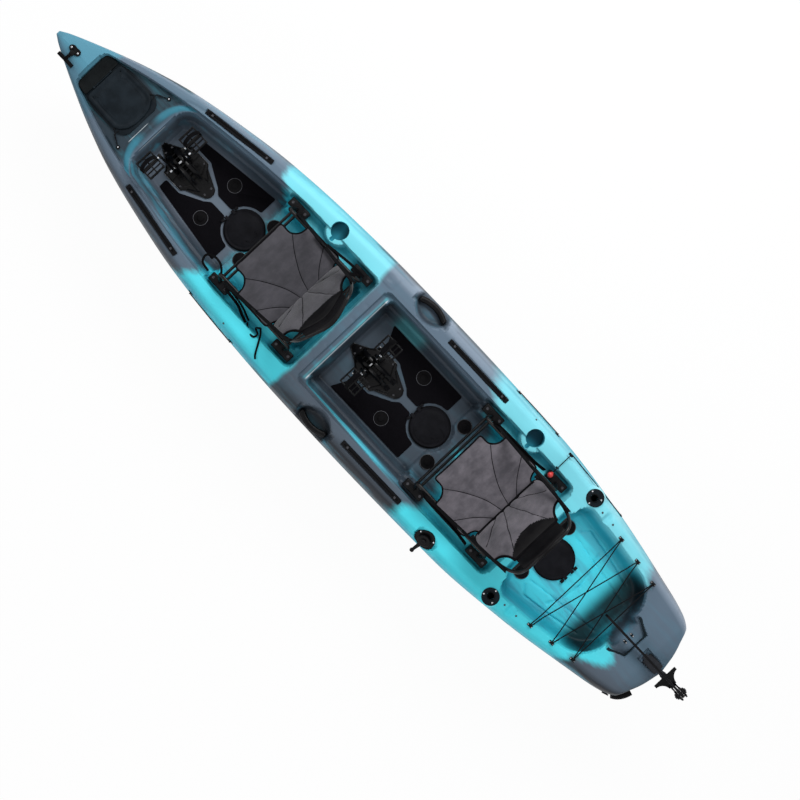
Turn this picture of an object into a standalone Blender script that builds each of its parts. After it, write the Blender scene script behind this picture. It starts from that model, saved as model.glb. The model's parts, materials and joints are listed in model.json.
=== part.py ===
"""Two-seat sit-on-top pedal kayak, drawn in metres with +X to the bow, +Y to port and +Z up.

The hull is one hollow moulded shell, and everything fastened to it is a separate object. Places along
the kayak are given as distances aft of the bow tip, and at() turns such a distance into X. The frame's
origin lies on the flat of the keel under the middle of the cross beam between the two cockpits.
"""

import math

import bmesh
import bpy
from mathutils import Matrix, Vector

GAP = 0.0003  # between two pieces that touch
RUNNING = 0.0008  # between a pin and what turns on it

# The moulded hull
HULL_LENGTH = 4.27
BEAM = 0.902
DEPTH = 0.298  # from the keel flat to the side deck
WALL = 0.006
BOW_DECK = 0.234  # bow tip to the front of the bow hatch
BOW_HATCH = 0.365
BOW_HATCH_HALF = 0.131
BULKHEAD = 0.089
FRONT_COCKPIT = 1.264
CROSS_BEAM = 0.059
REAR_COCKPIT = 1.323
REAR_BULKHEAD = 0.050
STERN_DECK = 0.245
COCKPIT_HALF = 0.308
RIM_SHARE = 0.74  # a well's edge as a share of the half beam, where the hull is narrow
RECESS_DROP = 0.026  # the rim recess below the side deck
FLOOR_Z = 0.055
SEAT_FLOOR_Z = 0.085
LEDGE_Z = 0.225
TANK_FLOOR_Z = 0.170
FLOOR_INSET = 0.070  # the footwell floor's edge inside the well's edge
SEAT_WELL_HALF = 0.235
SEAT_WELL_LENGTH = 0.612
ABOVE_DECK = 0.450  # how high a cutter reaches

# Round hatches, scuppers and holders
HATCH_HOLE_R = 0.078
HATCH_LID_R = 0.101
HATCH_LID_THICK = 0.008
HATCH_RING_R = 0.115
SCUPPER_R = 0.018
SCUPPER_RIM_R = 0.030
CUP_R = 0.046
CUP_DEPTH = 0.075
ROD_TUBE_R = 0.026
ROD_BORE_R = 0.0225
ROD_TUBE_LENGTH = 0.165
ROD_TILT = math.radians(28)
MAT_THICK = 0.004

# Gear tracks, 16 inches long
TRACK_LENGTH = 0.4064
TRACK_WIDTH = 0.025
TRACK_HEIGHT = 0.011
TRACK_SLOT = 0.009
TRACK_SUNK = 0.007

# Pedal drives
DRIVE_LENGTH = 0.355
DRIVE_CLEAR = 0.0025
AXLE_BACK = 0.135  # drive's front tip to its crank axle
AXLE_Z = 0.118
AXLE_R = 0.009
CRANK_LENGTH = 0.312
CRANK_THICK = 0.014
CRANK_Y = 0.050
SPINDLE_R = 0.006
PEDAL_Y = 0.113
PEDAL_WIDTH = 0.094
PEDAL_LENGTH = 0.104
FIN_AXIS_Z = -0.011
FIN_LENGTH = 0.262
FIN_ROOT = 0.123
FIN_TIP = 0.070
FIN_SPACING = 0.139
DRUM_R = 0.018
DRUM_LENGTH = 0.050
FRONT_SPLAY = math.radians(5)

# Seats
SEAT_LENGTH = 0.460
RAIL_HALF = 0.228
RAIL_Z = 0.368
TUBE_R = 0.010
CROSS_TUBE_R = 0.0075
CROSS_TUBE_Z = 0.264
CROSS_TUBE_HALF = 0.289
FOOT_SIZE = (0.120, 0.045, 0.048)
PIVOT_BACK = SEAT_LENGTH - 0.102  # seat's front bar to the backrest pivot
PIVOT_Z = 0.418
PAN_START = 0.022
PAN_LENGTH = PIVOT_BACK - 0.002
PAN_HALF = 0.232
CROSS_TUBES = (0.002, 0.026, SEAT_LENGTH)
BACK_HEAD_Z = 0.772  # the top of the backrest
BACK_HEAD_HALF = 0.128
STRAP_WIDTH = 0.024
STRAP_THICK = 0.003

# Rudder and its steering
STEER_BACK = 0.027  # hull's stern to the steering pin
STEER_PIN_R = 0.006
BLADE_BACK = 0.115  # hull's stern to the blade's pivot
BLADE_PIVOT_Z = 0.345
BLADE_LENGTH = 0.525
BLADE_THICK = 0.012
BLADE_LOW = 0.023
BLADE_HIGH = 0.030
CHANNEL_Z = 0.2825
CHANNEL_HALF = 0.032
BRACKET_THICK = 0.008
YOKE_HALF = 0.068
DIAL_TILT = math.radians(38)
DIAL_R = 0.058
LEVER_REACH = 0.100

# Where each thing lies along the kayak, aft of the bow tip
RECESS_START = BOW_DECK
COCKPIT_START = BOW_DECK + BOW_HATCH + BULKHEAD
COCKPIT_END = COCKPIT_START + FRONT_COCKPIT
REAR_START = COCKPIT_END + CROSS_BEAM
REAR_END = REAR_START + REAR_COCKPIT
TANK_START = REAR_END + REAR_BULKHEAD
TANK_END = HULL_LENGTH - STERN_DECK
ORIGIN_BACK = COCKPIT_END + CROSS_BEAM / 2
FRONT_DRIVE = COCKPIT_START + 0.010
REAR_DRIVE = REAR_START + 0.069
FRONT_HATCH = COCKPIT_START + 0.602
REAR_HATCH = REAR_START + 0.637
TANK_HATCH = TANK_START + 0.147
FRONT_SEAT = COCKPIT_END - 0.5455
REAR_SEAT = REAR_END - 0.548
RECESS_Z = DEPTH - RECESS_DROP


def at(back):
    return ORIGIN_BACK - back


# Small tools for shapes

def finish(name, colour, roughness, metallic=0.0):
    made = bpy.data.materials.new(name)
    made.use_nodes = True
    shader = made.node_tree.nodes["Principled BSDF"]
    shader.inputs["Base Color"].default_value = (*colour, 1.0)
    shader.inputs["Roughness"].default_value = roughness
    shader.inputs["Metallic"].default_value = metallic
    made.diffuse_color = (*colour, 1.0)
    return made


def object_of(name, shape, look=None):
    """A new object that holds a bmesh's shape, with its faces turned outwards."""
    bmesh.ops.recalc_face_normals(shape, faces=shape.faces)
    mesh = bpy.data.meshes.new(name)
    shape.to_mesh(mesh)
    shape.free()
    made = bpy.data.objects.new(name, mesh)
    bpy.context.scene.collection.objects.link(made)
    if look:
        mesh.materials.append(look)
    return made


def loft(name, rings, look=None, split=True):
    """A closed solid through rings of points that all have the same count."""
    shape = bmesh.new()
    loops = [[shape.verts.new(point) for point in ring] for ring in rings]
    for first, second in zip(loops, loops[1:]):
        for i in range(len(first)):
            j = (i + 1) % len(first)
            shape.faces.new((first[i], first[j], second[j], second[i]))
    shape.faces.new(loops[0])
    shape.faces.new(loops[-1])
    if split:
        bmesh.ops.triangulate(shape, faces=shape.faces)
    return object_of(name, shape, look)


def prism(name, outline, low, high, look=None):
    return loft(name, [[(x, y, z) for x, y in outline] for z in (low, high)], look, False)


def block(name, low, high, look=None):
    outline = ((low[0], low[1]), (high[0], low[1]), (high[0], high[1]), (low[0], high[1]))
    return prism(name, outline, low[2], high[2], look)


def rod(name, start, end, radius, sides=12, look=None, end_radius=None):
    """A round bar from one point to another."""
    start, end = Vector(start), Vector(end)
    turn = (end - start).to_track_quat("Z", "Y").to_matrix().to_4x4()
    shape = bmesh.new()
    bmesh.ops.create_cone(
        shape,
        cap_ends=True,
        segments=sides,
        radius1=radius,
        radius2=radius if end_radius is None else end_radius,
        depth=(end - start).length,
        matrix=Matrix.Translation((start + end) / 2) @ turn,
    )
    return object_of(name, shape, look)


def tube(name, points, radius, look=None, closed=False, resolution=2):
    """A bent tube or cord, which is a curve with a round bevel, made a mesh."""
    curve = bpy.data.curves.new(name, "CURVE")
    curve.dimensions = "3D"
    curve.bevel_depth = radius
    curve.bevel_resolution = resolution
    curve.use_fill_caps = not closed
    spline = curve.splines.new("POLY")
    spline.points.add(len(points) - 1)
    for slot, point in zip(spline.points, points):
        slot.co = (*point, 1.0)
    spline.use_cyclic_u = closed
    guide = bpy.data.objects.new(name + "_guide", curve)
    bpy.context.scene.collection.objects.link(guide)
    shape = bmesh.new()
    graph = bpy.context.evaluated_depsgraph_get()
    shape.from_mesh(bpy.data.meshes.new_from_object(guide.evaluated_get(graph)))
    bmesh.ops.remove_doubles(shape, verts=shape.verts, dist=0.00001)
    bpy.data.objects.remove(guide)
    return object_of(name, shape, look)


def combine(target, others, operation):
    """Joins or cuts the target with each of the others, and removes them."""
    for other in others:
        step = target.modifiers.new("step", "BOOLEAN")
        step.operation = operation
        step.solver = "EXACT"
        step.object = other
        graph = bpy.context.evaluated_depsgraph_get()
        made = bpy.data.meshes.new_from_object(target.evaluated_get(graph))
        target.modifiers.remove(step)
        old = target.data
        target.data = made
        bpy.data.meshes.remove(old)
        bpy.data.objects.remove(other)
    return target


def join(target, *others):
    return combine(target, others, "UNION")


def cut(target, *others):
    return combine(target, others, "DIFFERENCE")


def turned(thing, angle, axis, centre):
    """Turns an object's mesh about a line through centre."""
    centre = Vector(centre)
    spin = Matrix.Translation(centre) @ Matrix.Rotation(angle, 4, axis) @ Matrix.Translation(-centre)
    thing.data.transform(spin)
    return thing


def grown(outline, distance):
    """A closed outline, listed counter-clockwise, moved out by a distance."""
    count = len(outline)
    result = []
    for i in range(count):
        before, here, after = (Vector(outline[(i + k) % count]) for k in (-1, 0, 1))
        first = (here - before).normalized()
        second = (after - here).normalized()
        sum_out = Vector((first.y, -first.x)) + Vector((second.y, -second.x))
        result.append(tuple(here + sum_out * distance / (1 + first.dot(second))))
    return result


def smooth(points, at_share):
    """The height at one place of a monotone curve through a few points."""
    if at_share <= points[0][0]:
        return points[0][1]
    if at_share >= points[-1][0]:
        return points[-1][1]
    steps = [(b[1] - a[1]) / (b[0] - a[0]) for a, b in zip(points, points[1:])]
    slopes = [steps[0]]
    for left, right in zip(steps, steps[1:]):
        slopes.append(2 * left * right / (left + right) if left * right > 0 else 0.0)
    slopes.append(steps[-1])
    for i, (a, b) in enumerate(zip(points, points[1:])):
        if at_share <= b[0]:
            span = b[0] - a[0]
            t = (at_share - a[0]) / span
            rise = a[1] * (1 + 2 * t) * (1 - t) ** 2 + b[1] * t * t * (3 - 2 * t)
            return rise + span * t * (1 - t) * (slopes[i] * (1 - t) - slopes[i + 1] * t)


def rounded_path(corners, radius, steps=4, closed=False):
    """A path through corners, each rounded off by an arc-like bend."""
    count = len(corners)
    path = []
    for i, here in enumerate(corners):
        if not closed and i in (0, count - 1):
            path.append(Vector(here))
            continue
        here = Vector(here)
        before = (Vector(corners[i - 1]) - here)
        after = (Vector(corners[(i + 1) % count]) - here)
        start = here + before.normalized() * min(radius, before.length * 0.49)
        end = here + after.normalized() * min(radius, after.length * 0.49)
        for k in range(steps + 1):
            t = k / steps
            path.append(start * (1 - t) ** 2 + here * 2 * t * (1 - t) + end * t * t)
    return path


# The hull's lines, as shares of its length, half beam and depth

HALF_BEAM_LINE = (
    (0, 0.027), (0.013, 0.10), (0.047, 0.255), (0.098, 0.457), (0.149, 0.619), (0.217, 0.765),
    (0.285, 0.874), (0.37, 0.949), (0.473, 0.991), (0.57, 1.0), (0.728, 0.977), (0.83, 0.880),
    (0.932, 0.707), (0.966, 0.634), (0.9835, 0.559), (0.989, 0.437), (0.9958, 0.262), (1, 0.07),
)
KEEL_LINE = (
    (0, 0.88), (0.0047, 0.760), (0.0118, 0.547), (0.0235, 0.282), (0.035, 0.084), (0.0445, 0),
    (0.76, 0), (0.83, 0.030), (0.909, 0.084), (0.98, 0.255), (0.992, 0.315), (0.9965, 0.446), (1, 0.60),
)
CHINE_LINE = (
    (0, 0.923), (0.016, 0.893), (0.081, 0.844), (0.162, 0.742), (0.2775, 0.668), (0.347, 0.628),
    (0.4625, 0.584), (0.67, 0.584), (0.763, 0.611), (0.902, 0.654), (0.972, 0.701), (1, 0.718),
)
RIM_LINE = (
    (0, 0.98), (0.012, 1.047), (0.07, 1.05), (0.117, 1.04), (0.164, 1.022), (0.28, 1), (0.87, 1),
    (0.934, 1), (0.96, 1.037), (0.975, 1.04), (0.985, 1.007), (0.994, 0.95), (1, 0.90),
)
CROWN_LINE = ((0, 0), (0.03, 0.040), (0.06, 0.040), (0.12, 0.015), (0.2, 0), (1, 0))
FLAT_LINE = (
    (0, 0.10), (0.045, 0.08), (0.1, 0.12), (0.185, 0.25), (0.3, 0.5), (0.75, 0.5), (0.91, 0.4), (1, 0.2),
)
BILGE_LINE = (
    (0, 0.5), (0.06, 0.6), (0.18, 0.82), (0.3, 0.87), (0.8, 0.87), (0.92, 0.84), (0.97, 0.75), (1, 0.6),
)
BILGE_RISE_LINE = (
    (0, 0.35), (0.0625, 0.33), (0.12, 0.17), (0.185, 0.07), (0.9, 0.07), (0.97, 0.15), (1, 0.3),
)
RIM_WIDTH = 0.875  # where the side deck ends, as a share of the half beam there
CREASE_OUT = 0.656  # the crease, as a share of the way out from there to the full beam
CREASE_DROP = 0.39
STATIONS = (
    0, 0.004, 0.010, 0.018, 0.030, 0.047, 0.07, 0.10, 0.13, 0.165, 0.20, 0.24, 0.285, 0.33, 0.38, 0.43,
    0.455, 0.476, 0.53, 0.58, 0.63, 0.68, 0.73, 0.78, 0.83, 0.87, 0.905, 0.932, 0.950, 0.966, 0.9765, 0.9835,
    0.989, 0.9935, 0.9975, 1,
)
HOLLOW_FROM = 0.030
HOLLOW_TO = 0.985


def half_beam(back):
    return BEAM / 2 * smooth(HALF_BEAM_LINE, back / HULL_LENGTH)


def rim_z(back):
    return DEPTH * smooth(RIM_LINE, back / HULL_LENGTH)


def section(back):
    """Half of the hull's cross-section, from the keel out and up to the middle of the deck."""
    share = back / HULL_LENGTH
    wide = half_beam(back)
    keel, chine, rim = (DEPTH * smooth(line, share) for line in (KEEL_LINE, CHINE_LINE, RIM_LINE))
    bilge_y = wide * smooth(BILGE_LINE, share)
    bilge_z = keel + smooth(BILGE_RISE_LINE, share) * (chine - keel)
    return (
        (0.0, keel),
        (wide * smooth(FLAT_LINE, share), keel),
        (bilge_y, bilge_z),
        (wide - (wide - bilge_y) * 0.28, bilge_z + 0.45 * (chine - bilge_z)),
        (wide, chine),
        (wide * (RIM_WIDTH + CREASE_OUT * (1 - RIM_WIDTH)), rim - CREASE_DROP * (rim - chine)),
        (wide * RIM_WIDTH, rim),
        (0.0, rim + DEPTH * smooth(CROWN_LINE, share)),
    )


def deck_z(back, y):
    """The height of the outer form's top side at one place."""
    top = section(back)[4:]
    for low, high in zip(top, top[1:]):
        if abs(y) >= high[0]:
            t = (low[0] - abs(y)) / (low[0] - high[0])
            return low[1] + t * (high[1] - low[1])
    return top[-1][1]


def hull_form(name, inset, stations):
    rings = []
    for share in stations:
        half = section(share * HULL_LENGTH)
        outline = list(half) + [(-y, z) for y, z in reversed(half[1:-1])]
        if inset:
            outline = grown(outline, -inset)
        rings.append([(at(share * HULL_LENGTH), y, z) for y, z in outline])
    return loft(name, rings)


# Wells, which are cut from the form, and which the hollow keeps one wall away from

CORNER_STEPS = 3
SIDE_STEPS = 3


def well_half(back):
    return min(COCKPIT_HALF, RIM_SHARE * half_beam(back))


def both_sides(half):
    """A counter-clockwise outline in X and Y from half of it, given from front to rear."""
    port = [(at(back), y) for back, y in half]
    return port + [(x, -y) for x, y in reversed(port)]


def well_outline(front, rear, inset, nose, tail):
    """A well's edge. Nose and tail give how far each rounded corner reaches along and across."""
    half = []
    for k in range(CORNER_STEPS, -1, -1):
        angle = math.pi / 2 * k / CORNER_STEPS
        back = front + nose[0] * (1 - math.sin(angle))
        half.append((back, well_half(back) - inset - nose[1] * (1 - math.cos(angle))))
    start, end = front + nose[0], rear - tail[0]
    for k in range(1, SIDE_STEPS):
        back = start + (end - start) * k / SIDE_STEPS
        half.append((back, well_half(back) - inset))
    for k in range(CORNER_STEPS + 1):
        angle = math.pi / 2 * k / CORNER_STEPS
        back = rear - tail[0] * (1 - math.sin(angle))
        half.append((back, well_half(back) - inset - tail[1] * (1 - math.cos(angle))))
    return both_sides(half)


def basin(top, top_z, floor, floor_z, grow):
    """A well's cutter: straight sided above top_z, and sloping in to its floor below."""
    top, floor = grown(top, grow), grown(floor, grow)
    rings = ((floor, floor_z - grow), (top, top_z), (top, ABOVE_DECK))
    return loft("cutter", [[(x, y, z) for x, y in outline] for outline, z in rings])


def lozenge(start, grow):
    """The drive's outline, and with grow the hole that it drops into."""
    half = (
        (0.0, 0.010), (0.100, 0.066), (0.106, 0.096), (0.224, 0.096), (0.240, 0.078),
        (DRIVE_LENGTH - 0.012, 0.030), (DRIVE_LENGTH, 0.010),
    )
    return grown(both_sides([(start + back, y) for back, y in half]), grow)


def cup_places():
    return [(FRONT_SEAT + 0.2315, -0.336), (REAR_SEAT + 0.234, -0.336)]


def recess(front, rear, nose, tail, grow):
    outline = well_outline(front, rear, 0, nose, tail)
    return prism("cutter", grown(outline, grow), RECESS_Z - grow, ABOVE_DECK)


def footwell(front, rear, nose, grow):
    tail = (0.010, 0.010)
    top = well_outline(front, rear, 0.012, nose, tail)
    floor = well_outline(front + 0.036, rear - 0.004, FLOOR_INSET, nose, tail)
    return basin(top, RECESS_Z - 0.004, floor, FLOOR_Z, grow)


def seat_well(rear, grow):
    """A seat's two ledges, and the deeper well between them."""
    front = rear - SEAT_WELL_LENGTH + 0.010
    nose, tail = (0.020, 0.020), (0.030, 0.030)
    plan = grown(well_outline(front, rear, 0.006, nose, tail), grow)
    ledges = prism("cutter", plan, LEDGE_Z - grow, ABOVE_DECK)
    inset = COCKPIT_HALF - SEAT_WELL_HALF
    top = well_outline(front - 0.010, rear - 0.008, inset, nose, tail)
    floor = well_outline(front - 0.012, rear - 0.040, inset + 0.018, nose, tail)
    return ledges, basin(top, LEDGE_Z + 0.004, floor, SEAT_FLOOR_Z, grow)


def keep_cup_bosses(cutter, radius):
    """Leaves the rim's bulge round each cup holder standing."""
    for back, y in cup_places():
        x = at(back)
        low, high = (x, y - 0.006, LEDGE_Z - 0.1), (x, y - 0.006, ABOVE_DECK + 0.01)
        cut(cutter, rod("boss", low, high, radius, 16))
    return cutter


def wells(grow):
    """Every well as a cutter, each grown by the same distance."""
    square = (0.035, 0.035)
    made = [
        keep_cup_bosses(recess(RECESS_START, COCKPIT_END, (0.030, 0.030), square, grow), 0.071 - grow),
        keep_cup_bosses(recess(REAR_START, REAR_END, square, (0.050, 0.050), grow), 0.071 - grow),
        footwell(COCKPIT_START, COCKPIT_END - SEAT_WELL_LENGTH + 0.006, (0.095, 0.150), grow),
        footwell(REAR_START + 0.010, REAR_END - SEAT_WELL_LENGTH + 0.006, (0.020, 0.040), grow),
    ]
    for rear in (COCKPIT_END - 0.008, REAR_END - 0.010):
        ledges, deep = seat_well(rear, grow)
        made += [keep_cup_bosses(ledges, 0.073 - grow), deep]
    for back in (FRONT_HATCH, REAR_HATCH):
        low, high = (at(back), 0, FLOOR_Z - 0.001 - grow), (at(back), 0, ABOVE_DECK)
        made.append(rod("cutter", low, high, HATCH_RING_R + 0.004 + grow, 24))
    tank_top = well_outline(TANK_START, TANK_END, 0, (0.070, 0.110), (0.150, 0.190))
    tank_floor = well_outline(TANK_START + 0.030, TANK_END - 0.045, 0.034, (0.060, 0.100), (0.130, 0.150))
    made.append(basin(tank_top, DEPTH - 0.030, tank_floor, TANK_FLOOR_Z, grow))
    return made


# Places for the deck's fittings

HANDLE_BACK = REAR_START + 0.217
HANDLE_HALF = 0.094
HANDLE_FLOOR_Z = 0.205
ROD_HOLDER_BACK = REAR_END + 0.091
ROD_HOLDER_Y = 0.345
PAD_Z = DEPTH + 0.0015
DIAL_BACK = REAR_END - 0.321
DIAL_CENTRE = Vector((at(DIAL_BACK), RIM_WIDTH * half_beam(DIAL_BACK) + 0.0003, DEPTH - 0.034))
DIAL_OUT = Vector((0.0, math.sin(DIAL_TILT), math.cos(DIAL_TILT)))
TRACKS = (
    ("front_port_gear_track", COCKPIT_START + 0.2865, 0.2947, 0.152),
    ("front_starboard_gear_track", COCKPIT_START + 0.2865, -0.2947, -0.152),
    ("rear_port_gear_track", REAR_START + 0.583, 0.3575, 0.0),
    ("rear_starboard_gear_track", REAR_START + 0.583, -0.3575, 0.0),
)
SCUPPERS = (
    (FRONT_DRIVE + 0.396, 0.118, FLOOR_Z),
    (COCKPIT_END - 0.565, 0.118, SEAT_FLOOR_Z),
    (REAR_DRIVE + 0.368, 0.148, FLOOR_Z),
    (REAR_END - 0.570, 0.128, SEAT_FLOOR_Z),
    (TANK_START + 0.083, 0.158, TANK_FLOOR_Z),
)
PLUG_BACK = HULL_LENGTH - 0.100
PLUG_Z = 0.232


def box_outline(back, y, angle, long, wide):
    """A rectangle's corners about one place, turned by an angle in plan."""
    c, s = math.cos(angle), math.sin(angle)
    result = []
    for u, v in ((-1, -1), (1, -1), (1, 1), (-1, 1)):
        along, across = u * long / 2, v * wide / 2
        result.append((at(back) + along * c + across * s, y - along * s + across * c))
    return result


def handle_recess(side, grow):
    half = []
    for k in range(9):
        t = -1 + k / 4
        half.append((at(HANDLE_BACK) + t * HANDLE_HALF, 0.392 - 0.050 * (1 - t * t)))
    outline = half + [(at(HANDLE_BACK) + HANDLE_HALF, 0.470), (at(HANDLE_BACK) - HANDLE_HALF, 0.470)]
    if side < 0:
        outline = [(x, -y) for x, y in reversed(outline)]
    return prism("cutter", grown(outline, grow), HANDLE_FLOOR_Z - grow, ABOVE_DECK)


def recesses(grow):
    """Shallow places cut for fittings, each grown by the same distance."""
    made = [handle_recess(1, grow), handle_recess(-1, grow)]
    for name, back, y, angle in TRACKS:
        outline = box_outline(back, y, angle, TRACK_LENGTH + 2 * GAP, TRACK_WIDTH + 2 * GAP)
        made.append(prism("cutter", grown(outline, grow), DEPTH - TRACK_SUNK - grow, ABOVE_DECK))
    low, high = DIAL_CENTRE - DIAL_OUT * grow, DIAL_CENTRE + DIAL_OUT * 0.15
    made.append(rod("cutter", low, high, DIAL_R + 0.004 + grow, 18))
    made.append(
        block(
            "cutter",
            (at(HULL_LENGTH + 0.05), -CHANNEL_HALF - grow, CHANNEL_Z - grow),
            (at(HULL_LENGTH - 0.135) + grow, CHANNEL_HALF + grow, ABOVE_DECK),
        )
    )
    return made


def shafts(grow):
    """What runs right down through the hull or into it: drive wells, scuppers and cups."""
    drives = (FRONT_DRIVE, REAR_DRIVE)
    made = [prism("cutter", lozenge(start, DRIVE_CLEAR + grow), -0.1, 0.2) for start in drives]
    for back, y, floor in SCUPPERS:
        for side in (1, -1):
            x = at(back)
            low, high = (x, side * y, -0.1), (x, side * y, floor + 0.01)
            made.append(rod("cutter", low, high, SCUPPER_R + grow, 10))
    for back, y in cup_places():
        x = at(back)
        low, high = (x, y, DEPTH - CUP_DEPTH - grow), (x, y, ABOVE_DECK)
        made.append(rod("cutter", low, high, CUP_R + grow, 16))
    return made


def plug_line():
    """Where the drain plug goes through the port quarter, and the direction out of the hull there."""
    x = at(PLUG_BACK)
    y = 0.2665
    return Vector((x, y, PLUG_Z)), Vector((-0.34, 1.0, 0.19)).normalized()


def rod_holder_line(side):
    """The middle of a rod holder's plate, and its tube's direction down into the hull."""
    top = Vector((at(ROD_HOLDER_BACK), side * ROD_HOLDER_Y, PAD_Z))
    return top, Vector((math.sin(ROD_TILT), 0.0, -math.cos(ROD_TILT)))


def hatch_half(back):
    return min(well_half(back) - 0.008, BOW_HATCH_HALF)


def hatch_outline(inset, front, rear):
    """The bow hatch in plan, as wide as the recess lets it be, with rounded corners."""
    nose, tail = (0.024, 0.036), (0.075, 0.050)
    start, end = front + nose[0], rear - tail[0]
    half = []
    for k in range(3, 0, -1):
        angle = math.pi / 2 * k / 3
        back = front + nose[0] * (1 - math.sin(angle))
        half.append((back, hatch_half(start) - inset - nose[1] * (1 - math.cos(angle))))
    for k in range(5):
        back = start + (end - start) * k / 4
        half.append((back, hatch_half(back) - inset))
    last = half[-1][1]
    for k in range(1, 4):
        angle = math.pi / 2 * k / 3
        half.append((rear - tail[0] * (1 - math.sin(angle)), last - tail[1] * (1 - math.cos(angle))))
    return both_sides(half)


def doors():
    """The openings into the hollow, and the holes for what is fastened to the hull."""
    plan = hatch_outline(0.026, BOW_DECK + 0.092, BOW_DECK + BOW_HATCH - 0.032)
    made = [prism("cutter", plan, RECESS_Z - 0.02, 0.3)]
    for back, floor in ((FRONT_HATCH, FLOOR_Z), (REAR_HATCH, FLOOR_Z), (TANK_HATCH, TANK_FLOOR_Z)):
        low, high = (at(back), 0, floor - 0.02), (at(back), 0, floor + 0.02)
        made.append(rod("cutter", low, high, HATCH_HOLE_R, 20))
    for side in (1, -1):
        top, down = rod_holder_line(side)
        made.append(rod("cutter", top - down * 0.06, top + down * 0.06, ROD_TUBE_R + 0.0005, 16))
    place, out = plug_line()
    made.append(rod("cutter", place - out * 0.03, place + out * 0.03, 0.0105, 12))
    made.append(rod("cutter", place - out * 0.001, place + out * 0.03, 0.0185, 16))
    made.append(skid_form(GAP))
    x = at(BOW_PLATE_BACK)
    made.append(prism("cutter", oval(x, 0, 0.035 + GAP, 0.016 + GAP), bow_plate_low() - GAP, ABOVE_DECK))
    return made


def oval(x, y, half_long, half_wide, count=16):
    angles = [2 * math.pi * (k + 0.5) / count for k in range(count)]
    return [(x + half_long * math.cos(angle), y + half_wide * math.sin(angle)) for angle in angles]


BOW_PLATE_BACK = 0.131


def bow_plate_low():
    return deck_z(BOW_PLATE_BACK, 0) - 0.003


def skid_form(grow, name="cutter", look=None):
    """The wear strip under the stern, which follows the keel and stands a little proud of it."""
    rings = []
    start, end = HULL_LENGTH - 0.230, HULL_LENGTH - 0.080
    for k in range(6):
        back = start - grow + (end - start + 2 * grow) * k / 5
        keel = DEPTH * smooth(KEEL_LINE, back / HULL_LENGTH)
        wide, low, high = 0.016 + grow, keel - 0.005, keel + 0.0035 + grow
        rings.append([(at(back), y, z) for y, z in ((-wide, high), (-wide, low), (wide, low), (wide, high))])
    return loft(name, rings, look)


def make_hull(look):
    hull = hull_form("hull", 0, STATIONS)
    hull.data.materials.append(look)
    for side in (1, -1):
        top = rod_holder_line(side)[0]
        join(hull, rod("pad", top - Vector((0, 0, 0.055)), top, 0.049, 20, None, 0.046))
    cut(hull, *wells(0), *recesses(0))
    hollow = hull_form("hollow", WALL, [share for share in STATIONS if HOLLOW_FROM <= share <= HOLLOW_TO])
    cut(hollow, *wells(WALL), *recesses(WALL), *shafts(WALL))
    cut(hull, hollow)
    cut(hull, *shafts(0), *doors())
    return hull


bpy.data.objects.remove(bpy.data.objects["Cube"])
for other in ("Light", "Camera"):
    bpy.data.objects.remove(bpy.data.objects[other])

SHELL = finish("moulded_shell", (0.27, 0.62, 0.68), 0.45)
BLACK = finish("black_plastic", (0.025, 0.025, 0.03), 0.45)
CHARCOAL = finish("charcoal_plastic", (0.06, 0.065, 0.075), 0.5)
FOAM = finish("foam_mat", (0.03, 0.03, 0.035), 0.9)
TUBING = finish("frame_tube", (0.05, 0.05, 0.055), 0.35, 0.6)
CLOTH = finish("seat_cloth", (0.09, 0.10, 0.11), 0.85)
PALE_CLOTH = finish("pale_seat_cloth", (0.16, 0.17, 0.18), 0.85)
CORD = finish("cord", (0.02, 0.02, 0.02), 0.8)
STEEL = finish("steel", (0.55, 0.56, 0.58), 0.3, 1.0)
ALLOY = finish("alloy", (0.6, 0.6, 0.62), 0.4, 1.0)
RED = finish("red_knob", (0.75, 0.06, 0.05), 0.4)

make_hull(SHELL)


# Hinges: a pin between two ears on the fixed piece, through a barrel on the moving one

def hinge_ears(piece, x, z, foot_z, pin_half, radius=0.003):
    """Adds a pin along Y with an ear at each end, standing on the piece at foot_z."""
    parts = [rod("pin", (x, -pin_half, z), (x, pin_half, z), radius, 10)]
    for side in (1, -1):
        y = side * (pin_half - 0.004)
        parts.append(block("ear", (x - 0.005, y - 0.004, foot_z), (x + 0.005, y + 0.004, z + 0.005)))
    return join(piece, *parts)


def hinge_barrel(piece, x, z, half, web, radius=0.003):
    """Adds the barrel round that pin, with a web that reaches back into the piece."""
    barrel = rod("barrel", (x, -half, z), (x, half, z), 0.0052, 12)
    first, last = min(x, x + web), max(x, x + web)
    join(piece, barrel, block("web", (first, 0.001 - half, z - 0.0025), (last, half - 0.001, z + 0.0025)))
    return cut(piece, rod("bore", (x, -half - 0.01, z), (x, half + 0.01, z), radius + 0.0005, 10))


# Hatches

def make_round_hatch(prefix, back, floor, toward):
    """A hatch ring on a floor, with its lid hinged at the side that toward names."""
    x = at(back)
    hinge_x = x + toward * (HATCH_LID_R + 0.0075)
    low, top = floor + GAP, floor + 0.006
    ring = rod(prefix + "_hatch_ring", (x, 0, low), (x, 0, top), HATCH_RING_R, 28, BLACK)
    cut(ring, rod("bore", (x, 0, low - 0.01), (x, 0, top + 0.01), HATCH_HOLE_R, 20))
    pin_z = top + GAP + HATCH_LID_THICK / 2 + 0.0015
    hinge_ears(ring, hinge_x, pin_z, top - 0.0015, 0.050)
    base = top + GAP
    lid = rod(prefix + "_hatch_lid", (x, 0, base), (x, 0, base + HATCH_LID_THICK), HATCH_LID_R, 28, CHARCOAL)
    grip_x = x - toward * 0.072
    notch = rod("notch", (grip_x, 0, base + 0.003), (grip_x, 0, base + 0.02), 0.020, 16)
    first, last = sorted((grip_x, grip_x + toward * 0.03))
    cut(notch, block("keep", (first, -0.03, base), (last, 0.03, base + 0.03)))
    cut(lid, notch)
    hinge_barrel(lid, hinge_x, pin_z, 0.038, -toward * 0.014)


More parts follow.
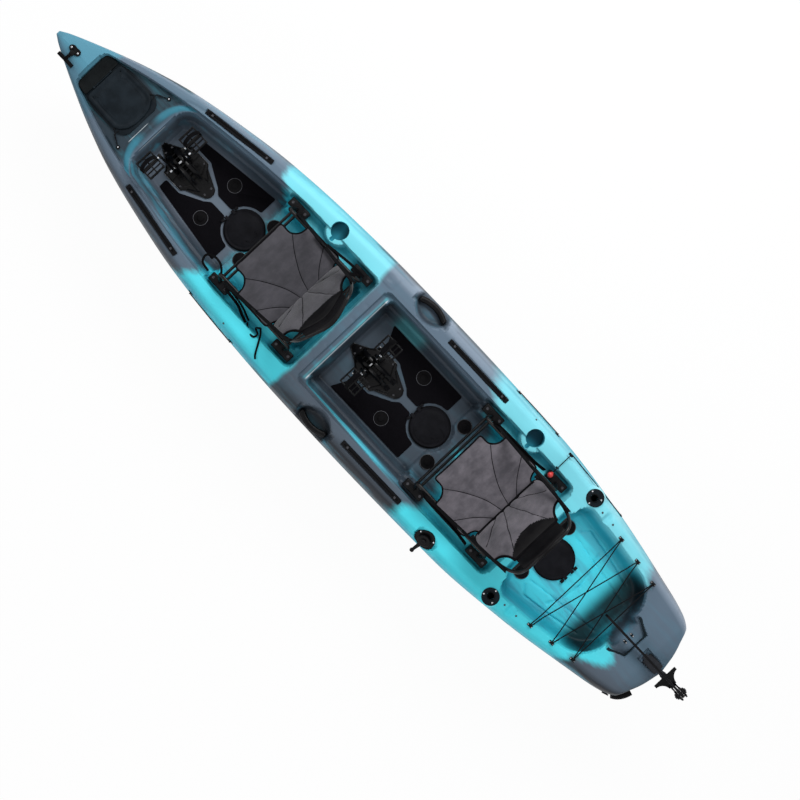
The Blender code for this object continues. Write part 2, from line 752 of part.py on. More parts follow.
def make_bow_hatch():
    low, top = RECESS_Z + GAP, RECESS_Z + 0.010
    front, rear = BOW_DECK + 0.006, BOW_DECK + BOW_HATCH - 0.006
    rim = prism("bow_hatch_rim", hatch_outline(0, front, rear), low, top, BLACK)
    cut(rim, prism("bore", hatch_outline(0.024, BOW_DECK + 0.090, BOW_DECK + BOW_HATCH - 0.030), 0.2, 0.4))
    hinge = BOW_DECK + 0.080
    band = [(back, well_half(back) - 0.014) for back in (front + 0.004, (front + hinge) / 2, hinge - 0.010)]
    join(rim, prism("band", both_sides(band), top - 0.002, top + 0.010))
    base = top + GAP
    pin_z = base + 0.007
    hinge_ears(rim, at(hinge), pin_z, top - 0.003, 0.060)
    plan = hatch_outline(0.010, hinge + 0.0080, rear - 0.010)
    lid = prism("bow_hatch_lid", plan, base, base + 0.012, CHARCOAL)
    hinge_barrel(lid, at(hinge), pin_z, 0.048, -0.014)


# Rails, mats and small deck fittings

def make_track(name, back, y, angle):
    top, low = DEPTH - TRACK_SUNK + TRACK_HEIGHT, DEPTH - TRACK_SUNK + GAP
    track = prism(name, box_outline(back, y, angle, TRACK_LENGTH, TRACK_WIDTH), low, top, ALLOY)
    slot = box_outline(back, y, angle, TRACK_LENGTH * 2, TRACK_SLOT)
    return cut(track, prism("slot", slot, top - 0.008, top + 0.1))


def make_mat(name, side, edge, drive_start, hatch_back, scupper):
    """A foam mat beside a drive well, hollowed round the hatch ring and round a scupper."""
    ring = HATCH_RING_R + 0.006
    path = list(edge)
    first = math.asin(min(1.0, edge[-1][1] / ring))
    for k in range(1, 6):
        angle = first * (1 - k / 5) + 0.19 * k / 5
        path.append((hatch_back - ring * math.cos(angle), ring * math.sin(angle)))
    path += [
        (drive_start + DRIVE_LENGTH + 0.020, 0.023),
        (drive_start + 0.345, 0.050),
        (drive_start + 0.250, 0.100),
        (drive_start + 0.232, 0.111),
        (max(drive_start + 0.130, edge[0][0]), 0.111),
    ]
    outline = [(at(back), side * y) for back, y in path]
    if side < 0:
        outline.reverse()
    mat = prism(name, outline, FLOOR_Z + GAP, FLOOR_Z + MAT_THICK, FOAM)
    x, y = at(scupper[0]), side * scupper[1]
    return cut(mat, rod("bore", (x, y, 0), (x, y, 0.2), 0.040, 14))


def make_mats():
    for label, side in (("port", 1), ("starboard", -1)):
        rear = FRONT_HATCH - 0.005
        edge = ((COCKPIT_START + 0.148, 0.160), (rear, 0.220), (rear, 0.1208))
        make_mat("front_" + label + "_foot_mat", side, edge, FRONT_DRIVE, FRONT_HATCH, SCUPPERS[0])
        rear = REAR_HATCH + 0.002
        edge = ((REAR_START + 0.143, 0.222), (rear, 0.222), (rear, 0.1208))
        make_mat("rear_" + label + "_foot_mat", side, edge, REAR_DRIVE, REAR_HATCH, SCUPPERS[2])


def make_bow_handle():
    x, low = at(BOW_PLATE_BACK), bow_plate_low()
    pin_y, pin_z = 0.0255, low + 0.0105
    plate = prism("bow_handle_plate", oval(x, 0, 0.035, 0.016), low, low + 0.005, BLACK)
    join(plate, rod("pin", (x - 0.022, pin_y, pin_z), (x + 0.022, pin_y, pin_z), 0.0028, 10))
    for end in (-1, 1):
        first, last = x + end * 0.0185 - 0.0035, x + end * 0.0185 + 0.0035
        ear = block("ear", (first, 0.002, low + 0.0015), (last, pin_y + 0.004, pin_z + 0.004))
        join(plate, ear)
    grip_y = 0.064
    bar_z = deck_z(BOW_PLATE_BACK, grip_y) + 0.013
    grip = rod("bow_handle_grip", (x - 0.047, grip_y, bar_z), (x + 0.047, grip_y, bar_z), 0.010, 14, BLACK)
    barrel = rod("barrel", (x - 0.0135, pin_y, pin_z), (x + 0.0135, pin_y, pin_z), 0.0056, 12)
    rings = []
    for y, z in ((pin_y + 0.002, pin_z), (grip_y - 0.004, bar_z)):
        around = ((-1, -1), (1, -1), (1, 1), (-1, 1))
        rings.append([(x + u * 0.0125, y, z + v * 0.0015) for u, v in around])
    join(grip, barrel, loft("strap", rings))
    cut(grip, rod("bore", (x - 0.03, pin_y, pin_z), (x + 0.03, pin_y, pin_z), 0.0033, 10))


def make_side_handle(name, side):
    x, floor = at(HANDLE_BACK), HANDLE_FLOOR_Z + GAP
    corners = []
    for k in range(7):
        t = -1 + k / 3
        corners.append((x + t * 0.078, side * (0.399 + 0.022 * (1 - t * t)), floor + 0.020))
    grip = tube(name, corners, 0.0105, BLACK, resolution=1)
    for end in (-1, 1):
        middle = x + end * 0.074
        low, high = sorted((side * 0.388, side * 0.411))
        join(grip, block("foot", (middle - 0.013, low, floor), (middle + 0.013, high, floor + 0.0245)))
    return grip


def make_rod_holder(name, side):
    """A flange on its pad with a closed tube down into the hull."""
    top, down = rod_holder_line(side)
    flange = rod(name, top + Vector((0, 0, GAP)), top + Vector((0, 0, 0.006)), 0.045, 20, BLACK)
    shaft = rod("shaft", top - down * 0.006, top + down * ROD_TUBE_LENGTH, ROD_TUBE_R, 16)
    reach = Vector((0.1, 0.1, 0.1))
    cut(shaft, block("above", top - reach + Vector((0, 0, 0.104)), top + reach))
    join(flange, shaft)
    return cut(flange, rod("bore", top - down * 0.05, top + down * (ROD_TUBE_LENGTH - 0.005), ROD_BORE_R, 16))


def bungee_places():
    backs = (TANK_START + 0.276, TANK_START + 0.409, TANK_START + 0.538)
    return [(back, well_half(back) + 0.020) for back in backs]


def make_bungee():
    """One elastic cord laced through six pad eyes over the tank well."""
    first, second, third = bungee_places()
    level = DEPTH + 0.012
    low = DEPTH + GAP
    cord = None
    for (back, y), (next_back, next_y), lift in (
        (first, first, 0), (third, third, 0),
        (first, second, 0.004), (second, third, 0.004), (second, first, -0.004), (third, second, -0.004),
    ):
        start, end = (at(back), -y, level + lift), (at(next_back), next_y, level + lift)
        piece = rod("tankwell_bungee", start, end, 0.0032, 8, CORD)
        cord = piece if cord is None else join(cord, piece)
    for back, y in (first, second, third):
        for side in (1, -1):
            x, middle = at(back), side * y
            eye = prism("eye", oval(x, middle + side * 0.004, 0.013, 0.011, 12), low, low + 0.004)
            join(cord, eye, rod("post", (x, middle, low + 0.002), (x, middle, level + 0.0095), 0.0062, 9))
    return cord


def make_drain_plug():
    place, out = plug_line()
    plug = rod("drain_plug", place - out * (0.001 - GAP), place + out * 0.006, 0.0175, 14, BLACK)
    return join(plug, rod("stem", place - out * 0.016, place + out * 0.003, 0.0095, 10))


# Pedal drives

def make_drive(prefix, start, splay):
    axle = Vector((at(start + AXLE_BACK), 0, AXLE_Z))
    body = prism(prefix + "_drive_body", lozenge(start, 0), 0.0085, FLOOR_Z + 0.008, CHARCOAL)
    spine = []
    for back, z in (
        (0.053, 0.05), (0.062, 0.100), (0.105, 0.142), (0.165, 0.142), (0.225, 0.105), (0.300, 0.05),
    ):
        spine.append((at(start + back), z))
    shape = [[(x, y, z) for x, z in spine] for y in (-0.034, 0.034)]
    join(body, loft("spine", shape, None, False))
    cut(body, block("groove", (at(start + 0.28), -0.008, 0.122), (at(start + 0.07), 0.008, 0.2)))
    join(body, rod("axle", axle + Vector((0, -0.070, 0)), axle + Vector((0, 0.070, 0)), AXLE_R, 16))
    lug = (
        (-0.013, 0.012), (-0.013, -0.016), (-0.007, -0.0235),
        (0.007, -0.0235), (0.013, -0.016), (0.013, 0.012),
    )
    for first, swing, name in ((0.0105, 1, "fore_fin"), (0.0105 + FIN_SPACING, -1, "aft_fin")):
        fin_start = start + first
        ends = (fin_start - 0.0085, fin_start + DRUM_LENGTH + 0.0005)
        for back in ends:
            rings = [[(at(back + along), y, z) for y, z in lug] for along in (0, 0.008)]
            join(body, loft("lug", rings, None, False))
        pin = (at(ends[0] + 0.004), 0, FIN_AXIS_Z), (at(ends[1] + 0.004), 0, FIN_AXIS_Z)
        join(body, rod("pin", *pin, 0.005, 10))
        make_fin(prefix + "_" + name, fin_start, swing * 2 * splay)
    for label, side in (("port", 1), ("starboard", -1)):
        make_crank(prefix + "_" + label + "_crank", axle, side, side * splay)
        make_pedal(prefix + "_" + label + "_pedal", axle, side, side * splay)


def make_fin(name, start, angle):
    """A flexible fin: a drum that turns on its pin, and a blade down from it."""
    x0, z0 = at(start), FIN_AXIS_Z
    outline = (
        (0.0004, -0.010), (0.0500, -0.010), (0.0500, -0.030), (FIN_ROOT, -0.026), (FIN_ROOT, -0.050),
        (FIN_ROOT - 0.014, -0.120), (FIN_TIP + 0.012, -0.225), (FIN_TIP - 0.006, -FIN_LENGTH - 0.006),
        (0.018, -FIN_LENGTH - 0.012), (0.006, -FIN_LENGTH + 0.004), (0.002, -0.120),
    )
    rings = []
    for side, half, shrink in ((-1, 0.0062, 0.93), (-1, 0.0038, 1), (1, 0.0038, 1), (1, 0.0062, 0.93)):
        ring = []
        for along, down in outline:
            taper = 1 - 0.55 * min(1.0, -down / FIN_LENGTH)
            u = 0.045 + (along - 0.045) * (shrink if -down > 0.03 else 1)
            ring.append((x0 - u, side * half * taper, z0 + down))
        rings.append(ring)
    fin = loft(name, rings, CHARCOAL)
    join(fin, rod("drum", (x0, 0, z0), (x0 - DRUM_LENGTH, 0, z0), DRUM_R, 20))
    cut(fin, rod("bore", (x0 + 0.01, 0, z0), (x0 - DRUM_LENGTH - 0.01, 0, z0), 0.0056, 10))
    return turned(fin, angle, "X", (x0, 0, z0))


def make_crank(name, axle, side, angle):
    """A crank arm with its pedal spindle, which turns on the drive's axle."""
    inner, outer = side * (CRANK_Y - CRANK_THICK / 2), side * (CRANK_Y + CRANK_THICK / 2)
    top = axle + Vector((0, 0, CRANK_LENGTH))
    arm = rod(name, (axle.x, inner, axle.z), (axle.x, outer, axle.z), 0.022, 20, BLACK)
    low, high = min(inner, outer) + 0.0015, max(inner, outer) - 0.0015
    rings = []
    for z, wide in ((0.012, 0.016), (0.10, 0.014), (CRANK_LENGTH, 0.0105)):
        around = ((-wide, low), (wide, low), (wide, high), (-wide, high))
        rings.append([(axle.x + u, y, axle.z + z) for u, y in around])
    end = rod("end", (top.x, inner, top.z), (top.x, outer, top.z), 0.015, 16)
    tip = side * (PEDAL_Y + PEDAL_WIDTH / 2 + 0.002)
    spindle = rod("spindle", (top.x, inner + side * 0.002, top.z), (top.x, tip, top.z), SPINDLE_R, 12)
    join(arm, loft("blade", rings), end, spindle)
    start, stop = (axle.x, inner - side * 0.01, axle.z), (axle.x, outer + side * 0.01, axle.z)
    cut(arm, rod("bore", start, stop, AXLE_R + RUNNING, 16))
    return turned(arm, angle, "Y", axle)


def make_pedal(name, axle, side, angle):
    """A platform pedal with raised edges, bored along its spindle."""
    top = axle + Vector((0, 0, CRANK_LENGTH))
    low, high = PEDAL_Y - PEDAL_WIDTH / 2, PEDAL_Y + PEDAL_WIDTH / 2
    half = PEDAL_LENGTH / 2
    profile = (
        (-half, -0.008), (half, -0.008), (half, 0.010),
        (half - 0.010, 0.0105), (-half + 0.010, 0.0105), (-half, 0.010),
    )
    shape = [[(top.x + x, side * y, top.z + z) for x, z in profile] for y in (low, high)]
    pedal = loft(name, shape, BLACK, False)
    for end in (-1, 1):
        middle = Vector((top.x + end * 0.030, side * PEDAL_Y, top.z))
        reach = Vector((0.013, PEDAL_WIDTH / 2 - 0.013, 0.1))
        cut(pedal, block("window", middle - reach, middle + reach))
    start, stop = (top.x, side * (low - 0.01), top.z), (top.x, side * (high + 0.01), top.z)
    cut(pedal, rod("bore", start, stop, SPINDLE_R + RUNNING, 12))
    return turned(turned(pedal, angle, "Y", axle), -angle, "Y", turned_point(top, angle, axle))


def turned_point(point, angle, centre):
    return Matrix.Rotation(angle, 3, "Y") @ (point - centre) + centre


# Seats

def seat_point(start, back, y, z):
    return Vector((at(start + back), y, z))


def make_seat(prefix, start, cloth, hump, shape):
    """A framed seat: base, cloth, folding back and the two straps that hold the back up."""
    base = None
    foot_top = LEDGE_Z + GAP + FOOT_SIZE[2]
    for side in (1, -1):
        path = rounded_path(
            (
                seat_point(start, 0.014, side * 0.262, foot_top - 0.010),
                seat_point(start, -0.012, side * RAIL_HALF, RAIL_Z - 0.012),
                seat_point(start, 0.050, side * RAIL_HALF, RAIL_Z),
                seat_point(start, SEAT_LENGTH - 0.050, side * RAIL_HALF, RAIL_Z),
                seat_point(start, SEAT_LENGTH + 0.020, side * RAIL_HALF, RAIL_Z - 0.016),
                seat_point(start, SEAT_LENGTH, side * 0.262, foot_top - 0.010),
            ),
            0.03,
            2,
        )
        name = prefix + "_seat_base_frame" if base is None else "rail"
        rail = tube(name, path, TUBE_R, TUBING, resolution=1)
        base = rail if base is None else join(base, rail)
        for back in (0.014, SEAT_LENGTH):
            middle = seat_point(start, back, side * 0.2665, LEDGE_Z + GAP)
            reach = Vector((FOOT_SIZE[0] / 2, FOOT_SIZE[1] / 2, 0))
            join(base, block("foot", middle - reach, middle + reach + Vector((0, 0, FOOT_SIZE[2]))))
        pin = seat_point(start, PIVOT_BACK, side * 0.223, PIVOT_Z)
        reach = Vector((0.013, 0.003, 0))
        plate = block("plate", Vector((pin.x, pin.y, RAIL_Z)) - reach, pin + reach)
        eye = rod("eye", (pin.x, pin.y - 0.004, pin.z), (pin.x, pin.y + 0.004, pin.z), 0.0135, 8)
        join(base, plate, eye, rod("pin", pin, (pin.x, side * 0.1975, pin.z), 0.0045, 10))
    for back in CROSS_TUBES:
        ends = [seat_point(start, back, side * (CROSS_TUBE_HALF - 0.012), CROSS_TUBE_Z) for side in (-1, 1)]
        join(base, rod("cross", *ends, CROSS_TUBE_R, 10))
    make_pan(prefix + "_seat_fabric", start, cloth, hump)
    make_back(prefix, start, cloth, shape)


def make_pan(name, start, cloth, hump):
    """The seat cloth, which lies on the rails and is cut away at its corners."""
    low = RAIL_Z + 0.97 * TUBE_R
    half_plan = []
    long, wide = PAN_LENGTH, PAN_HALF
    for k in range(5):
        angle = math.pi / 2 * k / 4
        half_plan.append((PAN_START + 0.050 * math.sin(angle), wide - 0.056 * math.cos(angle)))
    half_plan += [(PAN_START + 0.13, wide), (PAN_START + 0.22, wide)]
    for k in range(5):
        angle = math.pi / 2 * k / 4
        back = PAN_START + long - 0.105 + 0.060 * (1 - math.cos(angle))
        half_plan.append((back, wide - 0.070 * math.sin(angle)))
    half_plan += [(PAN_START + long - 0.012, 0.120), (PAN_START + long, 0.020)]
    plan = both_sides([(start + back, y) for back, y in half_plan])
    middle = Vector((at(start + PAN_START + long * 0.48), 0))
    rings = []
    for share, edge, crown in (
        (0.985, 0.0, 0.0), (1.0, 0.003, 0.0), (0.985, 0.0065, 0.0),
        (0.85, 0.0065, 0.30), (0.6, 0.0065, 0.75), (0.25, 0.0065, 1.0),
    ):
        z = low + edge + hump * crown
        rings.append([(middle.x + (x - middle.x) * share, y * share, z) for x, y in plan])
    return loft(name, rings, cloth)


BACK_LINE = ((PIVOT_Z, 0.0), (0.46, 0.008), (0.56, 0.042), (0.66, 0.098), (0.74, 0.135), (0.780, 0.148))
BACK_CLOTH = (
    (0.440, 0.180), (0.462, 0.206), (0.500, 0.214), (0.580, 0.214), (0.650, 0.204), (0.692, 0.184),
)


def back_line(z, lean):
    """How far behind its pivot the back is at height z; lean is its extra recline per metre."""
    return smooth(BACK_LINE, z) + lean * (z - PIVOT_Z)


def back_point(start, shape, along, y, z):
    """A place on a back, at a distance along behind its middle surface.

    The shape is its extra recline per metre and how far it is bent rearwards in its middle.
    """
    lean, bow = shape
    bow *= 0.5 * (1 + math.cos(math.pi * min(abs(y) / 0.19, 1)))
    rise = min(max((z - 0.46) / 0.22, 0), 1)
    return seat_point(start, PIVOT_BACK + back_line(z, lean) + along + bow * rise, y, z)


def make_back(prefix, start, cloth, shape):
    """The folding back: a bent tube with a moulded head, its cloth, and a strap at each side."""
    heights = (PIVOT_Z, 0.455, 0.50, 0.58, 0.66, 0.72)
    across = (0.206, 0.206, 0.207, 0.205, 0.196, 0.176)
    port = [back_point(start, shape, 0, y, z) for z, y in zip(heights, across)]
    top = [back_point(start, shape, 0, y, BACK_HEAD_Z) for y in (BACK_HEAD_HALF - 0.003, 0.060)]
    arch = port + top
    mirrored = [Vector((p.x, -p.y, p.z)) for p in reversed(arch)]
    path = rounded_path(arch + mirrored, 0.022, 1)
    frame = tube(prefix + "_seat_back_frame", path, 0.008, TUBING, resolution=1)
    head = []
    across = (-1, -0.6, -0.3, 0, 0.3, 0.6, 1)
    for z in (BACK_HEAD_Z - 0.072, BACK_HEAD_Z):
        front = [back_point(start, shape, -0.0095, y * BACK_HEAD_HALF, z) for y in reversed(across)]
        head.append([back_point(start, shape, 0.0045, y * BACK_HEAD_HALF, z) for y in across] + front)
    join(frame, loft("head", head))
    z = BACK_HEAD_Z - 0.057
    path = [back_point(start, shape, 0, y, z) for y in (-0.178, -0.12, -0.08, -0.04, 0, 0.04, 0.08, 0.12, 0.178)]
    join(frame, tube("bar", path, 0.006, TUBING, resolution=1))
    for side in (1, -1):
        pivot = seat_point(start, PIVOT_BACK, 0, PIVOT_Z)
        ends = [(pivot.x, side * y, pivot.z) for y in (0.1985, 0.2150)]
        join(frame, rod("boss", *ends, 0.0125, 12))
        cut(frame, rod("bore", (pivot.x, side * 0.18, pivot.z), (pivot.x, side * 0.23, pivot.z), 0.0052, 10))
        make_strap(prefix, start, side, shape[0])
    rings = []
    for z, wide in BACK_CLOTH:
        slope = (back_line(z + 0.01, shape[0]) - back_line(z - 0.01, shape[0])) / 0.02
        clear = 0.0085 * math.sqrt(1 + slope * slope)
        ring = []
        for y in (-1, -0.75, -0.5, -0.25, 0, 0.25, 0.5, 0.75, 1):
            ring.append(back_point(start, shape, -clear, y * wide, z))
        for y in (1, 0.75, 0.5, 0.25, 0, -0.25, -0.5, -0.75, -1):
            ring.append(back_point(start, shape, -clear - 0.007 - 0.004 * (1 - y * y), y * wide, z))
        rings.append(ring)
    loft(prefix + "_seat_back_fabric", rings, cloth)


def make_strap(prefix, start, side, lean):
    """A flat strap from beside the front of the rail up to the side of the back."""
    label = "port" if side > 0 else "starboard"
    outer = RAIL_HALF + TUBE_R + STRAP_THICK / 2 + GAP
    rings = []
    for back, y, z in (
        (0.036, outer, RAIL_Z - 0.002), (0.066, outer, RAIL_Z + 0.022),
        (PIVOT_BACK + 0.042 + lean * (0.645 - PIVOT_Z), 0.2062, 0.645),
        (PIVOT_BACK + 0.114 + lean * (0.700 - PIVOT_Z), 0.1980, 0.700),
    ):
        ring = []
        for u, v in ((-0.5, -0.5), (0.5, -0.5), (0.5, 0.5), (-0.5, 0.5)):
            ring.append(seat_point(start, back, side * (y + u * STRAP_THICK), z + v * STRAP_WIDTH))
        rings.append(ring)
    return loft(prefix + "_seat_" + label + "_strap", rings, CORD)


# Steering and rudder

def make_steering():
    out = DIAL_OUT
    base = rod("steering_base", DIAL_CENTRE + out * GAP, DIAL_CENTRE + out * 0.010, DIAL_R, 24, BLACK)
    join(base, rod("post", DIAL_CENTRE + out * 0.005, DIAL_CENTRE + out * 0.0270, 0.008, 14))
    join(base, rod("cap", DIAL_CENTRE + out * 0.0245, DIAL_CENTRE + out * 0.0290, 0.014, 16))
    knob = rod("steering_knob", DIAL_CENTRE + out * 0.0104, DIAL_CENTRE + out * 0.0240, 0.034, 24, BLACK)
    reach = Vector((0, out.z, -out.y))
    rings = []
    for along, wide in ((0.015, 0.013), (0.060, 0.010), (LEVER_REACH, 0.008)):
        middle = DIAL_CENTRE + reach * along
        around = ((-wide, 0.0125), (wide, 0.0125), (wide, 0.0215), (-wide, 0.0215))
        rings.append([middle + Vector((u, 0, 0)) + out * level for u, level in around])
    join(knob, loft("lever", rings))
    tip = DIAL_CENTRE + reach * LEVER_REACH
    join(knob, rod("tip", tip + out * 0.0120, tip + out * 0.0225, 0.011, 14))
    return cut(knob, rod("bore", DIAL_CENTRE, DIAL_CENTRE + out * 0.05, 0.0086, 14))


def make_lift():
    """The rudder's lift pull: a knob on a cord that runs into a guide tube on the side deck."""
    x, level = at(REAR_END - 0.138), DEPTH + 0.0085
    guide = rod("rudder_lift_guide", (x, -0.312, level), (x, -0.413, level), 0.0052, 12, BLACK)
    for y in (-0.322, -0.372):
        join(guide, block("foot", (x - 0.014, y - 0.007, DEPTH + GAP), (x + 0.014, y + 0.007, DEPTH + 0.005)))
        neck = block("neck", (x - 0.003, y - 0.004, DEPTH + 0.002), (x + 0.003, y + 0.004, level))
        join(guide, neck)
    cut(guide, rod("bore", (x, -0.30, level), (x, -0.43, level), 0.0030, 10))
    pull = rod("rudder_lift_pull", (x, -0.410, level), (x, -0.268, level), 0.0025, 8, RED)
    return join(pull, ball("knob", (x, -0.2666, level), 0.0145))


def ball(name, centre, radius):
    shape = bmesh.new()
    bmesh.ops.create_icosphere(shape, subdivisions=2, radius=radius, matrix=Matrix.Translation(centre))
    return object_of(name, shape)


def make_rudder():
    pin_x, blade_x = at(HULL_LENGTH + STEER_BACK), at(HULL_LENGTH + BLADE_BACK)
    low = CHANNEL_Z + GAP
    high = low + BRACKET_THICK
    arm_end, plate_ends = at(HULL_LENGTH - 0.120), (at(HULL_LENGTH - 0.020), at(HULL_LENGTH - 0.105))
    bracket = block("rudder_bracket", (pin_x, -0.014, low), (arm_end, 0.014, high), STEEL)
    join(bracket, block("plate", (plate_ends[0], -0.029, low), (plate_ends[1], 0.029, high)))
    join(bracket, rod("barrel", (pin_x, 0, 0.248), (pin_x, 0, high), 0.015, 18))
    cut(bracket, rod("bore", (pin_x, 0, 0.2), (pin_x, 0, 0.4), STEER_PIN_R + 0.0006, 12))
    head = rod("rudder_head", (pin_x, 0, 0.236), (pin_x, 0, 0.2476), 0.017, 18, BLACK)
    upper = high + 0.0004
    join(head, rod("pin", (pin_x, 0, 0.240), (pin_x, 0, upper + 0.006), STEER_PIN_R, 12))
    lug = oval(pin_x, 0, 0.018, 0.022, 16)
    join(head, prism("lug", lug, upper, upper + 0.011))
    half_yoke = ((pin_x - 0.052, 0.020), (pin_x - 0.010, YOKE_HALF), (pin_x + 0.009, YOKE_HALF))
    yoke = [(x, -y) for x, y in half_yoke] + list(reversed(half_yoke))
    join(head, prism("yoke", yoke, upper + 0.001, upper + 0.009))
    neck = block("neck", (blade_x + 0.040, -0.017, 0.237), (pin_x - 0.0185, 0.017, upper + 0.010))
    join(head, neck)
    join(head, block("arm", (pin_x - 0.022, -0.012, 0.2375), (pin_x - 0.010, 0.012, 0.2465)))
    cheek = (
        (0.052, -0.108), (-0.014, -0.083), (-0.030, -0.023), (-0.026, 0.021), (0.0, 0.027),
        (0.020, 0.007), (0.052, -0.042),
    )
    for side in (1, -1):
        inner, outer = sorted((side * 0.0085, side * 0.0165))
        shape = [[(blade_x + along, y, BLADE_PIVOT_Z + up) for along, up in cheek] for y in (inner, outer)]
        join(head, loft("cheek", shape, None, False))
    join(head, rod("pivot", (blade_x, -0.016, BLADE_PIVOT_Z), (blade_x, 0.016, BLADE_PIVOT_Z), 0.005, 10))
    blade = blade_shape(blade_x)
    join(blade, rod("hub", (blade_x, -0.0080, BLADE_PIVOT_Z), (blade_x, 0.0080, BLADE_PIVOT_Z), 0.024, 20))
    cut(blade, rod("bore", (blade_x, -0.03, BLADE_PIVOT_Z), (blade_x, 0.03, BLADE_PIVOT_Z), 0.0056, 10))


def blade_shape(x):
    """The rudder blade as it lies stowed, forward over the stern deck."""
    low, high, end = -0.8 * BLADE_LOW, 0.8 * BLADE_HIGH, BLADE_LENGTH
    outline = (
        (-0.018, -0.0096), (0.02, low), (0.30, low), (end - 0.085, low + 0.0008), (end - 0.030, -0.0112),
        (end, 0.0048), (end - 0.012, 0.0176), (end - 0.085, high), (0.16, high - 0.0032),
        (0.02, 0.0176), (-0.018, 0.0112),
    )
    rings = []
    for y in (-BLADE_THICK / 2, BLADE_THICK / 2):
        rings.append([(x + along, y, BLADE_PIVOT_Z + up) for along, up in outline])
    return loft("rudder_blade", rings, ALLOY)


make_seat("front", FRONT_SEAT, CLOTH, 0.022, (0.0, 0.040))
make_seat("rear", REAR_SEAT, PALE_CLOTH, 0.030, (0.19, 0.0))
make_drive("front", FRONT_DRIVE, FRONT_SPLAY)
make_drive("rear", REAR_DRIVE, 0.0)
make_round_hatch("front_cockpit", FRONT_HATCH, FLOOR_Z, 1)
make_round_hatch("rear_cockpit", REAR_HATCH, FLOOR_Z, 1)
make_round_hatch("tankwell", TANK_HATCH, TANK_FLOOR_Z, -1)
make_bow_hatch()
make_bow_handle()
for fitting in TRACKS:
    make_track(*fitting)
make_mats()
for name, side in (("port", 1), ("starboard", -1)):
    make_side_handle(name + "_carry_handle", side)
    make_rod_holder(name + "_rod_holder", side)
make_bungee()
make_drain_plug()
skid_form(0, "keel_wear_strip", BLACK)
make_steering()
make_lift()
make_rudder()
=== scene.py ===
"""The looks of a two-seat sit-on-top pedal kayak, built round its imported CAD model."""

import json
import math

import bmesh
import bpy
import numpy as np
from mathutils import Matrix, Vector

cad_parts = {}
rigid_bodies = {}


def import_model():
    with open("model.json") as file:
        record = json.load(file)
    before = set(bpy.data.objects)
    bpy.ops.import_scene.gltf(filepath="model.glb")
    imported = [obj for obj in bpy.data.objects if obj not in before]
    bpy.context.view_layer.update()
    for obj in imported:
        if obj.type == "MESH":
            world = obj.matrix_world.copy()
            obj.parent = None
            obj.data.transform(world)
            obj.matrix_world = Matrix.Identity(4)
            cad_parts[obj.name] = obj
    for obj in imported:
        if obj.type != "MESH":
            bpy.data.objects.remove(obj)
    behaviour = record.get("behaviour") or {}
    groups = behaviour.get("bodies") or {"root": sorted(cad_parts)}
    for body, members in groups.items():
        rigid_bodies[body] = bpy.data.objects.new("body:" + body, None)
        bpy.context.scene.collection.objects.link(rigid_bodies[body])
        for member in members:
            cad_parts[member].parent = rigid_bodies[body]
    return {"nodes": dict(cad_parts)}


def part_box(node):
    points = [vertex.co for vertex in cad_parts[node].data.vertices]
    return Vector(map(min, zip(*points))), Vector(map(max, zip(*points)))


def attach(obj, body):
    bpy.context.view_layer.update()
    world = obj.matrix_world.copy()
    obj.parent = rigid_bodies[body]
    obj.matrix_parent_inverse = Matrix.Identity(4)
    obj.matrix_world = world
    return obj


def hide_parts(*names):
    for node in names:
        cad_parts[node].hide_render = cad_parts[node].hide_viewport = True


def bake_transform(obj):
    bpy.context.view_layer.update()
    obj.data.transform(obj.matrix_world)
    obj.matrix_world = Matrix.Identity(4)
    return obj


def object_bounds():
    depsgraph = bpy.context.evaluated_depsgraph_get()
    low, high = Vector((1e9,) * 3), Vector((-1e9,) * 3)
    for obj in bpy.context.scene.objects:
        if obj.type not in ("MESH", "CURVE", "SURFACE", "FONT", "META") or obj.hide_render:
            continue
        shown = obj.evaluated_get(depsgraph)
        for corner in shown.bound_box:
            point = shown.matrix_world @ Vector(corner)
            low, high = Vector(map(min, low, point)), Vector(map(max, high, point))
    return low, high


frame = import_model()
cad_box = [list(corner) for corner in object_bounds()]


# Studio. The kayak is seen from straight above on a plain white ground, a little to the left of
# and above the middle of the picture. The ground lies just under the fins.

def tone(red, green, blue):
    """A colour as a screen shows it, from 0 to 255, for a shader."""
    shares = [((c / 255 + 0.055) / 1.055) ** 2.4 if c > 10 else c / 3295 for c in (red, green, blue)]
    return (*shares, 1.0)


class Socket:
    """An output of a node, with the operators that add Math nodes."""

    def __init__(self, finish, output):
        self.finish, self.output = finish, output

    def does(self, operation, *others):
        return self.finish.node("ShaderNodeMath", {"operation": operation}, (self, *others))

    def __add__(self, other):
        return self.does("ADD", other)

    def __sub__(self, other):
        return self.does("SUBTRACT", other)

    def __mul__(self, other):
        return self.does("MULTIPLY", other)

    def __truediv__(self, other):
        return self.does("DIVIDE", other)

    def __rsub__(self, other):
        return self.finish.node("ShaderNodeMath", {"operation": "SUBTRACT"}, (other, self))

    __radd__, __rmul__ = __add__, __mul__

    def rises(self, start, end):
        """0 before start and 1 past end, with a soft change between."""
        settings = {"interpolation_type": "SMOOTHSTEP"}
        return self.finish.node("ShaderNodeMapRange", settings, (self, start, end))

    def falls(self, start, end):
        return 1 - self.rises(start, end)

    def near(self, place, full, end):
        """1 within one distance of a place, and 0 past another."""
        return (self - place).does("ABSOLUTE").falls(full, end)


